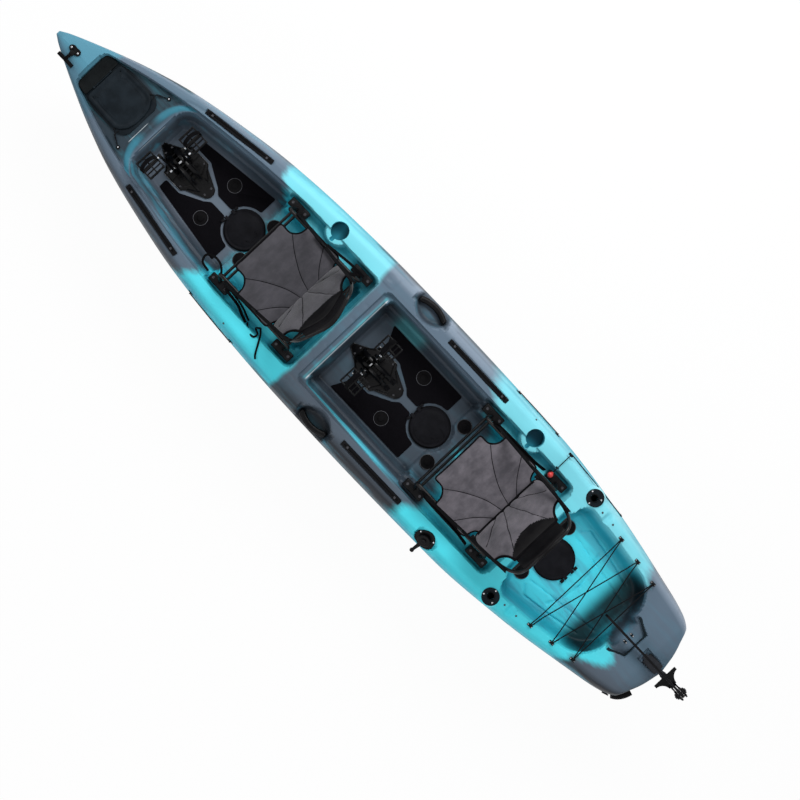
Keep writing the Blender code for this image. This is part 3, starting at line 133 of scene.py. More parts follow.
class Finish:
    """A material: it adds nodes, and drives its one shader."""

    def __init__(self, name, kept_in=bpy.data.materials, main="Principled BSDF", **sockets):
        self.material = kept_in.new(name)
        self.material.use_nodes = True
        self.nodes = self.material.node_tree.nodes
        self.shader = self.nodes[main]
        for socket, value in sockets.items():
            self.set(socket.replace("_", " "), value)

    def node(self, kind, settings=None, values=(), output=0):
        """A node with its settings set first and then its inputs, by place or by name."""
        made = self.nodes.new(kind)
        for key, value in (settings or {}).items():
            if key == "stops":
                ramp = made.color_ramp
                while len(ramp.elements) < len(value):
                    ramp.elements.new(0.5)
                for element, (place, colour) in zip(ramp.elements, value):
                    element.position, element.color = place, colour
            elif key == "blend":
                made.color_ramp.interpolation = value
            else:
                setattr(made, key, value)
        pairs = values.items() if isinstance(values, dict) else enumerate(values)
        for key, value in pairs:
            self.wire(made.inputs[key], value)
        return Socket(self, made.outputs[output])

    def wire(self, target, value):
        if isinstance(value, Socket):
            self.material.node_tree.links.new(value.output, target)
        elif value is not None:
            target.default_value = value

    def set(self, socket, value):
        self.wire(self.shader.inputs[socket], value)

    def place(self):
        """The place on the object in metres, as a vector, and its three parts."""
        where = self.node("ShaderNodeTexCoord", output="Object")
        parts = self.nodes.new("ShaderNodeSeparateXYZ")
        self.wire(parts.inputs[0], where)
        return where, *(Socket(self, part) for part in parts.outputs)

    def stretched(self, where, scale):
        return self.node("ShaderNodeMapping", {}, {"Vector": where, "Scale": scale})

    def noise(self, where, scale, detail, roughness=0.5):
        values = {"Vector": where, "Scale": scale, "Detail": detail, "Roughness": roughness}
        return self.node("ShaderNodeTexNoise", {}, values)

    def mix(self, share, first, second):
        values = {0: share, 6: first, 7: second}
        return self.node("ShaderNodeMix", {"data_type": "RGBA"}, values, 2)

    def looked_at(self):
        """1 for what is looked at, also by way of metal or glass, and 0 for light that falls on the kayak."""
        kinds = ("Is Camera Ray", "Is Glossy Ray", "Is Transmission Ray")
        camera, glossy, through = (self.node("ShaderNodeLightPath", output=kind) for kind in kinds)
        return (camera + glossy + through).does("MINIMUM", 1.0)

    def bump(self, height, depth, strength):
        values = {"Height": height, "Distance": depth, "Strength": strength}
        self.set("Normal", self.node("ShaderNodeBump", {}, values))


def cover(piece, finish):
    """Gives a piece one finish all over."""
    piece.data.materials.clear()
    piece.data.materials.append(finish.material)
    return piece


def add_lamp(name, place, size, power):
    """An area lamp that is aimed at the kayak's middle."""
    lamp = bpy.data.lights.new(name, "AREA")
    lamp.shape, lamp.size, lamp.size_y, lamp.energy = "RECTANGLE", size[0], size[1], power
    made = bpy.data.objects.new(name, lamp)
    bpy.context.scene.collection.objects.link(made)
    made.location = place
    made.rotation_euler = (-Vector(place)).to_track_quat("-Z", "Y").to_euler()


bpy.context.scene.view_settings.view_transform = "Standard"
for thing in [o for o in bpy.data.objects if o.type in ("LIGHT", "CAMERA") or o.name == "Cube"]:
    bpy.data.objects.remove(thing)

lens = bpy.data.cameras.new("camera")
lens.sensor_width, lens.lens = 36.0, 60.4
lens.shift_x, lens.shift_y = 0.0537, -0.0625
camera = bpy.data.objects.new("camera", lens)
bpy.context.scene.collection.objects.link(camera)
right, up = Vector((-0.68543, -0.72814, 0)), Vector((0.72814, -0.68543, 0))
turned = Matrix((right, up, right.cross(up))).transposed().to_4x4()
camera.matrix_world = Matrix.Translation((-0.134, 0, 6.80)) @ turned
bpy.context.scene.camera = camera

bpy.ops.mesh.primitive_plane_add(size=60, location=(0, 0, cad_box[0][2] - 0.002))
ground = bpy.context.object
ground.name = "ground"
white = Finish("white_ground", Base_Color=(0.88, 0.88, 0.88, 1), Roughness=0.9)
light = white.node("ShaderNodeEmission", {}, {"Color": (1, 1, 1, 1), "Strength": 1.0})
shares = {0: white.looked_at() * 0.955, 1: Socket(white, white.shader.outputs[0]), 2: light}
both = white.node("ShaderNodeMixShader", {}, shares)
white.wire(white.nodes["Material Output"].inputs["Surface"], both)
cover(ground, white)

room = Finish("room", bpy.data.worlds, "Background")
bpy.context.scene.world = room.material
seen = room.looked_at()
room.set("Color", room.mix(seen, (0.93, 0.96, 1.0, 1), (1.0, 1.0, 1.0, 1)))
room.set("Strength", seen * 0.60 + 0.40)
add_lamp("key", (0.6, -3.6, 4.2), (4.5, 2.0), 225)
add_lamp("fill", (-1.5, 3.6, 3.6), (4.0, 2.0), 60)
add_lamp("bow_light", (4.2, -0.5, 2.6), (1.6, 2.4), 26)


# Hull. One hollow shell of rotomoulded polyethylene, grey and cyan powders run together in the mould.
# It is drawn as rings across the kayak: a deck that the wells are pressed down into, and a round side.

# Stations run aft from the bow and heights up from the keel, in metres.
ORIGIN_BACK = 1.9815
HULL_LENGTH = 4.27
HALF_BEAM = 0.451
DEPTH = 0.298
RECESS_Z = 0.272
FLOOR_Z = 0.055
SEAT_FLOOR_Z = 0.085
LEDGE_Z = 0.225
TANK_FLOOR_Z = 0.170
DRIVES = (0.698, 2.080)
HATCHES = (1.290, 2.648, 3.531)
CUPS = (1.638, 3.020)
TRACKS = (("front", 0.9745, 0.2947, 0.152), ("rear", 2.594, 0.3575, 0.0))
SIDE_HANDLES = 2.228
DIAL = (3.013, 0.388, 0.264)
DIAL_TILT = math.radians(38)
ROD_HOLDERS = (3.425, 0.345)
# Each line gives shares of the half beam, of the depth or of the width, by the share of the length.
HALF_BEAM_LINE = (
    (0, 0.027), (0.013, 0.10), (0.047, 0.255), (0.098, 0.457), (0.149, 0.619), (0.217, 0.765),
    (0.285, 0.874), (0.37, 0.949), (0.473, 0.991), (0.57, 1.0), (0.728, 0.977), (0.83, 0.880),
    (0.932, 0.707), (0.966, 0.634), (0.9835, 0.559), (0.989, 0.437), (0.9958, 0.262), (1, 0.07),
)
KEEL_LINE = (
    (0, 0.88), (0.0047, 0.760), (0.0118, 0.547), (0.0235, 0.282), (0.035, 0.084), (0.0445, 0),
    (0.76, 0), (0.83, 0.030), (0.909, 0.084), (0.98, 0.255), (0.992, 0.315), (0.9965, 0.446), (1, 0.60),
)
CHINE_LINE = (
    (0, 0.923), (0.016, 0.893), (0.081, 0.844), (0.162, 0.742), (0.2775, 0.668), (0.347, 0.628),
    (0.4625, 0.584), (0.67, 0.584), (0.763, 0.611), (0.902, 0.654), (0.972, 0.701), (1, 0.718),
)
RIM_LINE = (
    (0, 0.98), (0.012, 1.047), (0.07, 1.05), (0.117, 1.04), (0.164, 1.022), (0.28, 1), (0.87, 1),
    (0.934, 1), (0.96, 1.037), (0.975, 1.04), (0.985, 1.007), (0.994, 0.95), (1, 0.90),
)
CROWN_LINE = ((0, 0), (0.03, 0.040), (0.06, 0.040), (0.12, 0.015), (0.2, 0), (1, 0))
FLAT_LINE = (
    (0, 0.10), (0.045, 0.08), (0.1, 0.12), (0.185, 0.25), (0.3, 0.5), (0.75, 0.5), (0.91, 0.4), (1, 0.2),
)
BILGE_LINE = (
    (0, 0.5), (0.06, 0.6), (0.18, 0.82), (0.3, 0.87), (0.8, 0.87), (0.92, 0.84), (0.97, 0.75), (1, 0.6),
)
RISE_LINE = ((0, 0.35), (0.0625, 0.33), (0.12, 0.17), (0.185, 0.07), (0.9, 0.07), (0.97, 0.15), (1, 0.3))
# Grooves at both sides, each with its points, half width and depth: three in the tank well, one on the
# side deck, and the steps beside the rear of each footwell, where the seat's ledge begins.
GROOVES = [
    (((3.526, 0.190), (3.560, 0.2305), (3.739, 0.202), (3.870, 0.170)), 0.009, 0.008),
    (((3.531, 0.156), (3.667, 0.135), (3.929, 0.098)), 0.009, 0.007),
    (((3.672, 0.176), (3.708, 0.096), (3.719, 0)), 0.012, 0.008),
    (((0.52, 0.178), (0.60, 0.196)), 0.006, 0.003),
]
for begin in (1.305, 1.317, 1.329, 2.685, 2.697, 2.709):
    GROOVES.append((((begin, 0.218), (begin + 0.030, 0.282)), 0.0045, 0.003))


def at(back):
    return ORIGIN_BACK - back


def line(points, share):
    """A monotone curve through a few points, read at many places."""
    px, py = np.array(points, float).T
    steps = np.diff(py) / np.diff(px)
    left, right = steps[:-1], steps[1:]
    same = left * right > 0
    inner = np.where(same, 2 * left * right / np.where(same, left + right, 1), 0)
    slopes = np.concatenate((steps[:1], inner, steps[-1:]))
    share = np.clip(share, px[0], px[-1])
    i = np.clip(np.searchsorted(px, share) - 1, 0, len(steps) - 1)
    span = px[i + 1] - px[i]
    t = (share - px[i]) / span
    rise = py[i] * (1 + 2 * t) * (1 - t) ** 2 + py[i + 1] * t * t * (3 - 2 * t)
    return rise + span * t * (1 - t) * (slopes[i] * (1 - t) - slopes[i + 1] * t)


def lower(a, b, round_):
    """The lower of two heights, with the corner between them rounded."""
    h = np.clip(0.5 + 0.5 * (b - a) / round_, 0, 1)
    return b * (1 - h) + a * h - round_ * h * (1 - h)


def higher(a, b, round_):
    return -lower(-a, -b, round_)


def step(low, high, x):
    t = np.clip((x - low) / (high - low), 0, 1)
    return t * t * (3 - 2 * t)


def half_beam(back):
    return HALF_BEAM * line(HALF_BEAM_LINE, back / HULL_LENGTH)


def well_half(back):
    return np.minimum(0.308, 0.74 * half_beam(back))


def outside_well(back, y, front, rear, inset, nose, tail):
    """How far each place lies outside a well's rounded edge, in plan."""
    def half(b):
        u = np.clip((front + nose[0] - b) / nose[0], 0, 1)
        v = np.clip((b - rear + tail[0]) / tail[0], 0, 1)
        cut = nose[1] * (1 - np.sqrt(1 - u * u)) + tail[1] * (1 - np.sqrt(1 - v * v))
        return well_half(b) - inset - cut
    slant = np.clip((half(back + 0.003) - half(back - 0.003)) / 0.006, -1.4, 1.4)
    far = np.abs(y) - half(back)
    side = far / np.sqrt(1 + (slant * (1 - step(0.0, 0.05, far))) ** 2)
    return np.maximum(side, np.maximum(front - back, back - rear))


def outside_box(back, y, middle, half, corner, turn=0.0):
    """How far each place lies outside a rounded rectangle, in plan."""
    c, s = math.cos(turn), math.sin(turn)
    along, across = back - middle[0], y - middle[1]
    u = np.abs(along * c + across * s) - half[0] + corner
    v = np.abs(across * c - along * s) - half[1] + corner
    return np.hypot(np.maximum(u, 0), np.maximum(v, 0)) + np.minimum(np.maximum(u, v), 0) - corner


def outside_line(back, y, points):
    """How far each place lies from a bent line, in plan."""
    far = np.full(back.shape, 9.0)
    for (b0, y0), (b1, y1) in zip(points, points[1:]):
        along, across = b1 - b0, y1 - y0
        t = np.clip(((back - b0) * along + (y - y0) * across) / (along ** 2 + across ** 2), 0, 1)
        far = np.minimum(far, np.hypot(back - b0 - t * along, y - y0 - t * across))
    return far


def press(z, far, floor, slope, corner, fillet):
    """Presses a hollow with a flat floor and sloping sides down into the heights."""
    return lower(z, floor + slope * higher(far, 0 * far, fillet), corner)


def groove(z, far, half, depth):
    return z - depth * (1 - step(0, half, far))


def deck(back, y, z):
    """The heights of the deck, from those of the plain form and all that is pressed into it."""
    side = np.abs(y)
    soft = 0.006
    # the two cockpits: rim recess, stepped footwell, ledges for the seat and the well between them
    for (front, rear), seat_rear, nose, tail, start, steep, round_nose in (
        ((0.234, 1.952), 1.944, (0.030, 0.030), (0.035, 0.035), 0.702, 2.9, (0.075, 0.085)),
        ((2.011, 3.334), 3.324, (0.035, 0.035), (0.050, 0.050), 2.075, 1.87, (0.020, 0.040)),
    ):
        z = press(z, outside_well(back, y, front, rear, 0, nose, tail), RECESS_Z, 7, soft, 0.004)
        step_rear = seat_rear - 0.602
        floor = outside_well(back, y, start - 0.020, step_rear, 0.070, round_nose, (0.010, 0.010))
        floor = np.maximum(floor, steep * (start - back))
        wall = FLOOR_Z + 5.2 * higher(floor, 0 * floor, 0.010)
        ledge = 0.158 + 0.25 * (floor - 0.020)
        upper = 0.162 + 5.0 * (floor - 0.036)
        z = lower(z, higher(lower(wall, ledge, 0.012), upper, 0.010), soft)
        corners = ((0.020, 0.020), (0.030, 0.030))
        ledges = outside_well(back, y, step_rear, seat_rear, 0.006, *corners)
        z = press(z, ledges, LEDGE_Z, 9, soft, 0.004)
        deep = outside_well(back, y, step_rear - 0.012, seat_rear - 0.040, 0.091, *corners)
        z = press(z, deep, SEAT_FLOOR_Z, 8, soft, 0.010)
    # a rounded bulge under each cup
    for cup in CUPS:
        bulge = RECESS_Z + 0.014 - 9 * higher(np.hypot(back - cup, y + 0.330) - 0.068, 0 * y, 0.004)
        z = higher(z, np.where((y < -0.25) & (y > -0.345), bulge, -1), 0.005)
    # the round bays that the rings of the cockpit hatches sit in
    for hatch in HATCHES[:2]:
        z = press(z, np.hypot(back - hatch, y) - 0.119, FLOOR_Z - 0.001, 9, soft, 0.004)
    # the tank well with its sloping sides
    tank = outside_well(back, y, 3.414, 3.980, 0.034, (0.060, 0.100), (0.130, 0.150))
    z = press(z, tank, TANK_FLOOR_Z, 3.1, 0.008, 0.016)
    for half in (1, -1):
        for points, wide, depth in GROOVES:
            z = groove(z, outside_line(back, y, [(b, w * half) for b, w in points]), wide, depth)
        # notches in the gunwale beside the tank well
        notch = outside_box(back, y, (3.546, 0.340 * half), (0.013, 0.045), 0.010)
        z = press(z, notch, DEPTH - 0.016, 2.0, 0.004, 0.004)
        # a flat shelf along the tank well for the bungee's eyes
        shelf = outside_box(back, y, (3.80, 0.288 * half), (0.165, 0.020), 0.012, 0.16 * half)
        z = groove(z, np.abs(shelf), 0.004, 0.0016)
        # square bosses with a round dish, on the beam between the cockpits
        boss = outside_box(back, y, (1.975, 0.362 * half), (0.040, 0.040), 0.010)
        dish = np.hypot(back - 1.975, y - 0.362 * half)
        z = z + 0.0035 * (1 - step(0, 0.005, boss)) - 0.0045 * (1 - step(0.018, 0.024, dish))
        for dimple in (0.088, 0.182):
            z = z - 0.003 * (1 - step(0.004, 0.012, np.hypot(back - 1.992, y - dimple * half)))
    # a rounded rib that arches across behind the bow hatch and runs out along the forward footwell
    arch = (
        (0.790, 0.226), (0.735, 0.2155), (0.698, 0.200), (0.668, 0.172), (0.650, 0.125), (0.641, 0.065),
        (0.638, 0),
    )
    arch = arch + tuple((b, -w) for b, w in reversed(arch[:-1]))
    far = outside_line(back, y, arch)
    lift = 0.009 * (1 - step(0.004, 0.024, far)) - 0.004 * (1 - step(0, 0.010, np.abs(far - 0.031)))
    z = z + lift * step(0.262, 0.270, z)
    # the tail: a channel for the rudder's bracket and a shallow tray ahead of it
    tray = outside_box(back, y, (4.036, 0), (0.046, 0.074 + 0.45 * np.clip(4.076 - back, 0, 0.076)), 0.008)
    z = press(z, tray, DEPTH - 0.015, 5, 0.003, 0.003)
    z = press(z, np.maximum(side - 0.032, 4.135 - back), 0.2825, 7, 0.003, 0.002)
    # places for the tracks, the side handles and the steering dial, and pads for the rod holders
    for _, b, w, turn in TRACKS:
        for half in (1, -1):
            rail = outside_box(back, y, (b, w * half), (0.2038, 0.0131), 0.003, turn * half)
            z = press(z, rail, DEPTH - 0.007, 8, 0.002, 0.001)
    t = (back - SIDE_HANDLES) / 0.094
    bay = np.maximum(np.abs(back - SIDE_HANDLES) - 0.094, 0.392 - 0.050 * (1 - np.clip(t * t, 0, 1)) - side)
    z = press(z, bay, 0.205, 4, 0.008, 0.012)
    round_ = np.hypot(back - DIAL[0], (y - DIAL[1]) / math.cos(DIAL_TILT)) - 0.060
    flat = DIAL[2] - (y - DIAL[1]) * math.tan(DIAL_TILT)
    z = lower(z, flat + 8 * higher(round_, 0 * y, 0.002), 0.003)
    for half in (1, -1):
        pad = np.hypot(back - ROD_HOLDERS[0], y - ROD_HOLDERS[1] * half)
        z = higher(z, DEPTH + 0.0015 - 3 * higher(pad - 0.050, 0 * y, 0.003), 0.004)
    return z


def plain_section(back):
    """Half of the plain cross-section at each ring, from the keel out and up to the side deck."""
    share = back / HULL_LENGTH
    wide = half_beam(back)
    keel, chine, rim = (DEPTH * line(curve, share) for curve in (KEEL_LINE, CHINE_LINE, RIM_LINE))
    bilge = wide * line(BILGE_LINE, share)
    rise = keel + line(RISE_LINE, share) * (chine - keel)
    crown = rim + DEPTH * line(CROWN_LINE, share)
    points = (
        (0 * wide, keel), (wide * line(FLAT_LINE, share), keel), (bilge, rise),
        (wide - (wide - bilge) * 0.28, rise + 0.45 * (chine - rise)), (wide, chine),
        (wide * 0.957, rim - 0.39 * (rim - chine)), (wide * 0.875, rim), (0 * wide, crown),
    )
    return np.array(points).transpose(2, 0, 1)


def rounded(points, reach, count):
    """Rounds the corners of many open outlines at once."""
    made = [points[:, :1]]
    for k in range(1, points.shape[1] - 1):
        before, here, after = points[:, k - 1], points[:, k], points[:, k + 1]
        first, second = before - here, after - here
        a = np.linalg.norm(first, axis=1, keepdims=True) + 1e-9
        b = np.linalg.norm(second, axis=1, keepdims=True) + 1e-9
        start = here + first / a * np.minimum(reach, a * 0.45)
        end = here + second / b * np.minimum(reach, b * 0.45)
        for t in np.linspace(0, 1, count):
            made.append((start * (1 - t) ** 2 + here * 2 * t * (1 - t) + end * t * t)[:, None])
    made.append(points[:, -1:])
    return np.concatenate(made, axis=1)


def make_hull():
    rings = [0, 0.002, 0.005, 0.010, 0.018, 0.028]
    while rings[-1] < HULL_LENGTH - 0.034:
        rings.append(rings[-1] + 0.0082)
    rings += [HULL_LENGTH - k for k in (0.027, 0.020, 0.014, 0.009, 0.005, 0.002, 0)]
    back = np.array(rings)
    half = rounded(plain_section(back), 0.016, 4)
    cut = 1 + 4 * 6  # up to the start of the side deck's rounded edge, the outer side of the form
    under, over = half[:, :cut - 8], half[:, cut - 8:]
    # the top is read again at even places across, from the chine to the middle
    places = np.concatenate((
        np.linspace(0, 0.26, 13)[:-1], np.linspace(0.26, 0.60, 40)[:-1], np.linspace(0.60, 1, 27),
    ))
    spans = np.linalg.norm(np.diff(over, axis=1), axis=2)
    length = np.pad(np.cumsum(spans, axis=1), ((0, 0), (1, 0)))
    top = np.empty((len(back), len(places), 2))
    for r in range(len(back)):
        for axis in (0, 1):
            top[r, :, axis] = np.interp(places * length[r, -1], length[r], over[r, :, axis])
    port = np.concatenate((under, top), axis=1)
    starboard = port[:, 1:-1][:, ::-1] * (-1, 1)
    ring = np.concatenate((port, starboard), axis=1)
    count = ring.shape[1]
    b = np.repeat(back[:, None], count, axis=1)
    z = ring[:, :, 1].copy()
    y = ring[:, :, 0]
    upper = slice(under.shape[1], count - under.shape[1] + 1)
    z[:, upper] = deck(b[:, upper], y[:, upper], z[:, upper])
    points = np.stack((at(b), y, z), axis=2).reshape(-1, 3)
    index = np.arange(len(back) * count).reshape(len(back), count)
    nexts = np.roll(index, -1, axis=1)
    quads = np.stack((index[:-1], nexts[:-1], nexts[1:], index[1:]), axis=2).reshape(-1, 4)
    faces = quads.tolist() + [index[0][::-1].tolist(), index[-1].tolist()]
    mesh = bpy.data.meshes.new("hull_shell")
    mesh.from_pydata(points.tolist(), [], faces)
    hull = bpy.data.objects.new("hull_shell", mesh)
    bpy.context.scene.collection.objects.link(hull)
    return hull


def alone(piece):
    """Selects one piece and nothing else, and makes it the active one."""
    bpy.ops.object.select_all(action="DESELECT")
    piece.select_set(True)
    bpy.context.view_layer.objects.active = piece
    return piece


def smooth_by_angle(piece, degrees):
    alone(piece)
    bpy.ops.object.shade_smooth_by_angle(angle=math.radians(degrees))
    return piece


def upright(outline, low, high):
    """A closed upright cutter over an outline of stations and Y."""
    shape = bmesh.new()
    rings = [[shape.verts.new((at(b), y, z)) for b, y in outline] for z in (low, high)]
    for i in range(len(outline)):
        j = (i + 1) % len(outline)
        shape.faces.new((rings[0][i], rings[0][j], rings[1][j], rings[1][i]))
    shape.faces.new(rings[0])
    shape.faces.new(rings[1])
    bmesh.ops.recalc_face_normals(shape, faces=shape.faces)
    mesh = bpy.data.meshes.new("cutter")
    shape.to_mesh(mesh)
    shape.free()
    made = bpy.data.objects.new("cutter", mesh)
    bpy.context.scene.collection.objects.link(made)
    return made


def circle(back, y, radius, count):
    turns = [2 * math.pi * k / count for k in range(count)]
    return [(back + radius * math.cos(a), y + radius * math.sin(a)) for a in turns]


def mirrored(half):
    """An outline from its port half and that half's mirror image."""
    return [*half, *((b, -y) for b, y in reversed(half))]


def cut_away(piece, cutters):
    """Takes separate solids out of a piece in one Boolean."""
    alone(cutters[0])
    for other in cutters[1:]:
        other.select_set(True)
    if len(cutters) > 1:
        bpy.ops.object.join()
    tool = bpy.context.object
    step_ = piece.modifiers.new("cut", "BOOLEAN")
    step_.operation, step_.solver, step_.object = "DIFFERENCE", "EXACT", tool
    alone(piece)
    bpy.ops.object.modifier_apply(modifier=step_.name)
    bpy.data.objects.remove(tool)
    return piece


def placed(piece, body, node, finish_=None):
    """Settles a finished piece: its finish, the body it moves with, and the CAD node it stands for."""
    if finish_:
        cover(piece, finish_)
    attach(piece, body)
    if node:
        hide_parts(node)
    return piece


hull = make_hull()
SCUPPERS = (
    (1.094, 0.118, FLOOR_Z), (1.387, 0.118, SEAT_FLOOR_Z), (2.448, 0.148, FLOOR_Z),
    (2.764, 0.128, SEAT_FLOOR_Z), (3.467, 0.158, TANK_FLOOR_Z),
)
DRIVE_OPENING = (
    (-0.002, 0.0125), (0.098, 0.0685), (0.104, 0.0985), (0.222, 0.0985), (0.238, 0.0805), (0.341, 0.0325),
    (0.3555, 0.0125),
)
cutters = []
for start in DRIVES:
    cutters.append(upright([(start + b, y) for b, y in mirrored(DRIVE_OPENING)], -0.1, 0.2))
for back, y, floor in SCUPPERS:
    for side in (1, -1):
        cutters.append(upright(circle(back, side * y, 0.018, 24), -0.1, 0.29))
for cup in CUPS:
    # a mug's handle goes through the slot at the round hole's inner side
    turns = np.linspace(1.80, 2 * math.pi + 1.34, 48)
    hole = [(cup + 0.046 * math.cos(a), -0.336 + 0.046 * math.sin(a)) for a in turns]
    slot = [(cup + 0.0115, -0.276), (cup + 0.007, -0.270), (cup - 0.007, -0.270), (cup - 0.0115, -0.276)]
    cutters.append(upright(hole + slot, DEPTH - 0.075, 0.40))
for back, low, high in ((HATCHES[0], 0.008, 0.12), (HATCHES[1], 0.008, 0.12), (HATCHES[2], 0.010, 0.24)):
    cutters.append(upright(circle(back, 0, 0.078, 48), low, high))
for side in (1, -1):
    cutters.append(upright(circle(ROD_HOLDERS[0] + 0.007, side * ROD_HOLDERS[1], 0.024, 24), 0.15, 0.40))
hold = [(0.345, 0.070), (0.40, 0.082), (0.50, 0.090), (0.545, 0.080), (0.565, 0.060)]
cutters.append(upright(mirrored(hold), 0.02, 0.36))
cut_away(hull, cutters)
smooth_by_angle(hull, 40)
placed(hull, "hull", "hull")


def note(piece, name, values):
    """Keeps a number at each of a piece's points, for its finish to read."""
    layer = piece.data.attributes.new(name, "FLOAT", "POINT")
    layer.data.foreach_set("value", np.asarray(values, np.float32))


# how far across each point lies, and how much of the deck round it stands higher than it, from which the
# finish paints shade in the wells
spots = np.empty(len(hull.data.vertices) * 3, np.float32)
hull.data.vertices.foreach_get("co", spots)
spots = spots.reshape(-1, 3).astype(float)
b, y, z = ORIGIN_BACK - spots[:, 0], spots[:, 1], spots[:, 2]
note(hull, "lean", y / np.maximum(half_beam(b), 0.02))
closed = np.zeros(len(b))
for turn in np.arange(8) * math.pi / 4:
    bb, yy = b + 0.042 * math.cos(turn), y + 0.042 * math.sin(turn)
    beside = np.where(np.abs(yy) < 0.93 * half_beam(bb), deck(bb, yy, np.full(b.shape, DEPTH)), 0)
    closed += np.clip((beside - z) / 0.09, 0, 1) / 8
note(hull, "hollow", np.where(z > 0.03, closed, 0))

shell = Finish("blended_polyethylene", Roughness=0.40, Specular_IOR_Level=0.14)
where, x, y, z = shell.place()
lean = shell.node("ShaderNodeAttribute", {"attribute_name": "lean"}, output="Fac")
hollow = shell.node("ShaderNodeAttribute", {"attribute_name": "hollow"}, output="Fac")
back = ORIGIN_BACK - x
wide = y.does("ABSOLUTE")
streaks = shell.noise(shell.stretched(where, (1.0, 3.0, 2.2)), 3.2, 5.0, 0.62)
clouds = shell.noise(where, 2.1, 3.0, 0.5)
outer = (wide - 0.30).does("MAXIMUM", 0.0)
sunk = (0.25 - z).does("MAXIMUM", 0.0)
drift = (streaks - 0.5) * 0.24 + outer * 0.8 - sunk * 0.30
drift = drift - y * (back.rises(0.9, 0.5) * 0.40 + back.rises(1.5, 1.8) * 0.14)
stern = y.rises(0.20, 0.30) * 0.07 - y.rises(0.05, 0.12) * wide.falls(0.17, 0.25) * 0.10
drift = drift + back.rises(3.7, 3.9) * stern
# the colours meet in an even line on the beam between the cockpits
along = back + drift * ((back - 1.95).does("ABSOLUTE").rises(0.05, 0.30) * 0.88 + 0.12)
# where the bow's blue fades and is gone, and where each cyan starts, is full, fades and is gone
BLUE_FADES = (0.29, 0.36)
CYANS = ((1.26, 1.33, 1.935, 1.97), (2.78, 2.88, 3.89, 3.97))


def zones(bow, grey, cyan):
    """The three colours along the hull, run into each other where the powders met."""
    stops = [(0.0, bow), (BLUE_FADES[0], bow), (BLUE_FADES[1], grey)]
    for start, full, fades, gone in CYANS:
        stops += [(start, grey), (full, cyan), (fades, cyan), (gone, grey)]
    settings = {"stops": [(place / 4.5, colour) for place, colour in stops], "blend": "EASE"}
    return shell.node("ShaderNodeValToRGB", settings, (along / 4.5,))


def across(*stops):
    """A colour that changes from the starboard rim, at -1, to the port one, at 1."""
    stops = [((place + 1) / 2, tone(*shade)) for place, *shade in stops]
    return shell.node("ShaderNodeValToRGB", {"stops": stops}, (tilted * 0.5 + 0.5,))


# the powders didn't mix evenly: each colour is darker to port; towards the starboard rim it turns paler, a
# painted highlight of the sheen on that side
tilted = lean * (0.62 + back.rises(1.2, 2.1) * 0.38 + lean.rises(-0.5, -0.9) * back.rises(2.1, 1.2) * 0.30)
greys = across(
    (-1.0, 158, 172, 188), (-0.91, 138, 152, 168), (-0.80, 96, 113, 129), (0.0, 92, 111, 127),
    (0.50, 92, 106, 120), (0.78, 82, 92, 103), (0.90, 36, 40, 46), (1.0, 26, 29, 34),
)
cyans = across((-1.0, 182, 240, 248), (-0.88, 134, 222, 236), (0.0, 100, 221, 235), (0.9, 78, 224, 238))
bows = across((-0.6, 90, 147, 168), (0.1, 86, 142, 163), (0.40, 78, 112, 130), (0.6, 74, 104, 120))
parts = [along.rises(start, full) * along.falls(fades, gone) for start, full, fades, gone in CYANS]
cyan = parts[0] + parts[1]
colour = shell.mix(cyan, shell.mix(along.falls(*BLUE_FADES), greys, bows), cyans)
dark_rim = lean.rises(0.86, 0.95) * back.rises(0.45, 0.75) * (1 - cyan)
colour = shell.mix(dark_rim * 0.6, colour, tone(54, 54, 58))
# painted shade: the sunken deck and the wells take darker colours, the bow's blue and the grey most of all
recess_shade_colours = zones(tone(40, 84, 98), tone(76, 87, 98), tone(82, 222, 240))
colour = shell.mix(sunk.rises(0.0, 0.05), colour, recess_shade_colours)
# teal streaks, mostly on the wells' walls, and a teal patch on the rear footwell's starboard wall
teal = shell.noise(shell.stretched(where, (0.7, 4.5, 3.0)), 2.6, 4.0, 0.6).rises(0.46, 0.64)
walls = z.falls(0.255, 0.285) * z.rises(0.07, 0.13) * (lean.rises(-0.2, 0.4) * 0.5 + 0.5)
colour = shell.mix(teal * (walls * 0.80 + 0.08), colour, tone(82, 160, 184))
colour = shell.mix(back.falls(1.25, 1.6) * sunk.rises(0.12, 0.17) * 0.55, colour, tone(120, 129, 142))
glow = back.near(2.235, 0.05, 0.13) * y.near(-0.25, 0.02, 0.05)
colour = shell.mix(glow * sunk.rises(0.0, 0.02) * 0.9, colour, tone(78, 150, 158))
# painted shade in the recess round the bow hatch, dark grey with teal streaks, and teal along the rib behind
# it
fore = back.falls(0.640, 0.680) * z.falls(0.279, 0.287) * z.rises(0.20, 0.22)
colour = shell.mix(fore * 0.92, colour, shell.mix(teal, tone(38, 50, 58), tone(52, 96, 108)))
bent = (wide / 0.203).does("POWER", 4.0) * 0.058
rib = (back - bent).near(0.638, 0.010, 0.026) * back.falls(0.80, 0.90)
rib = rib * z.rises(0.262, 0.268) * z.falls(0.286, 0.292)
colour = shell.mix(rib * (wide.rises(0.02, 0.10) * 0.9 + teal * 0.1), colour, tone(60, 126, 146))
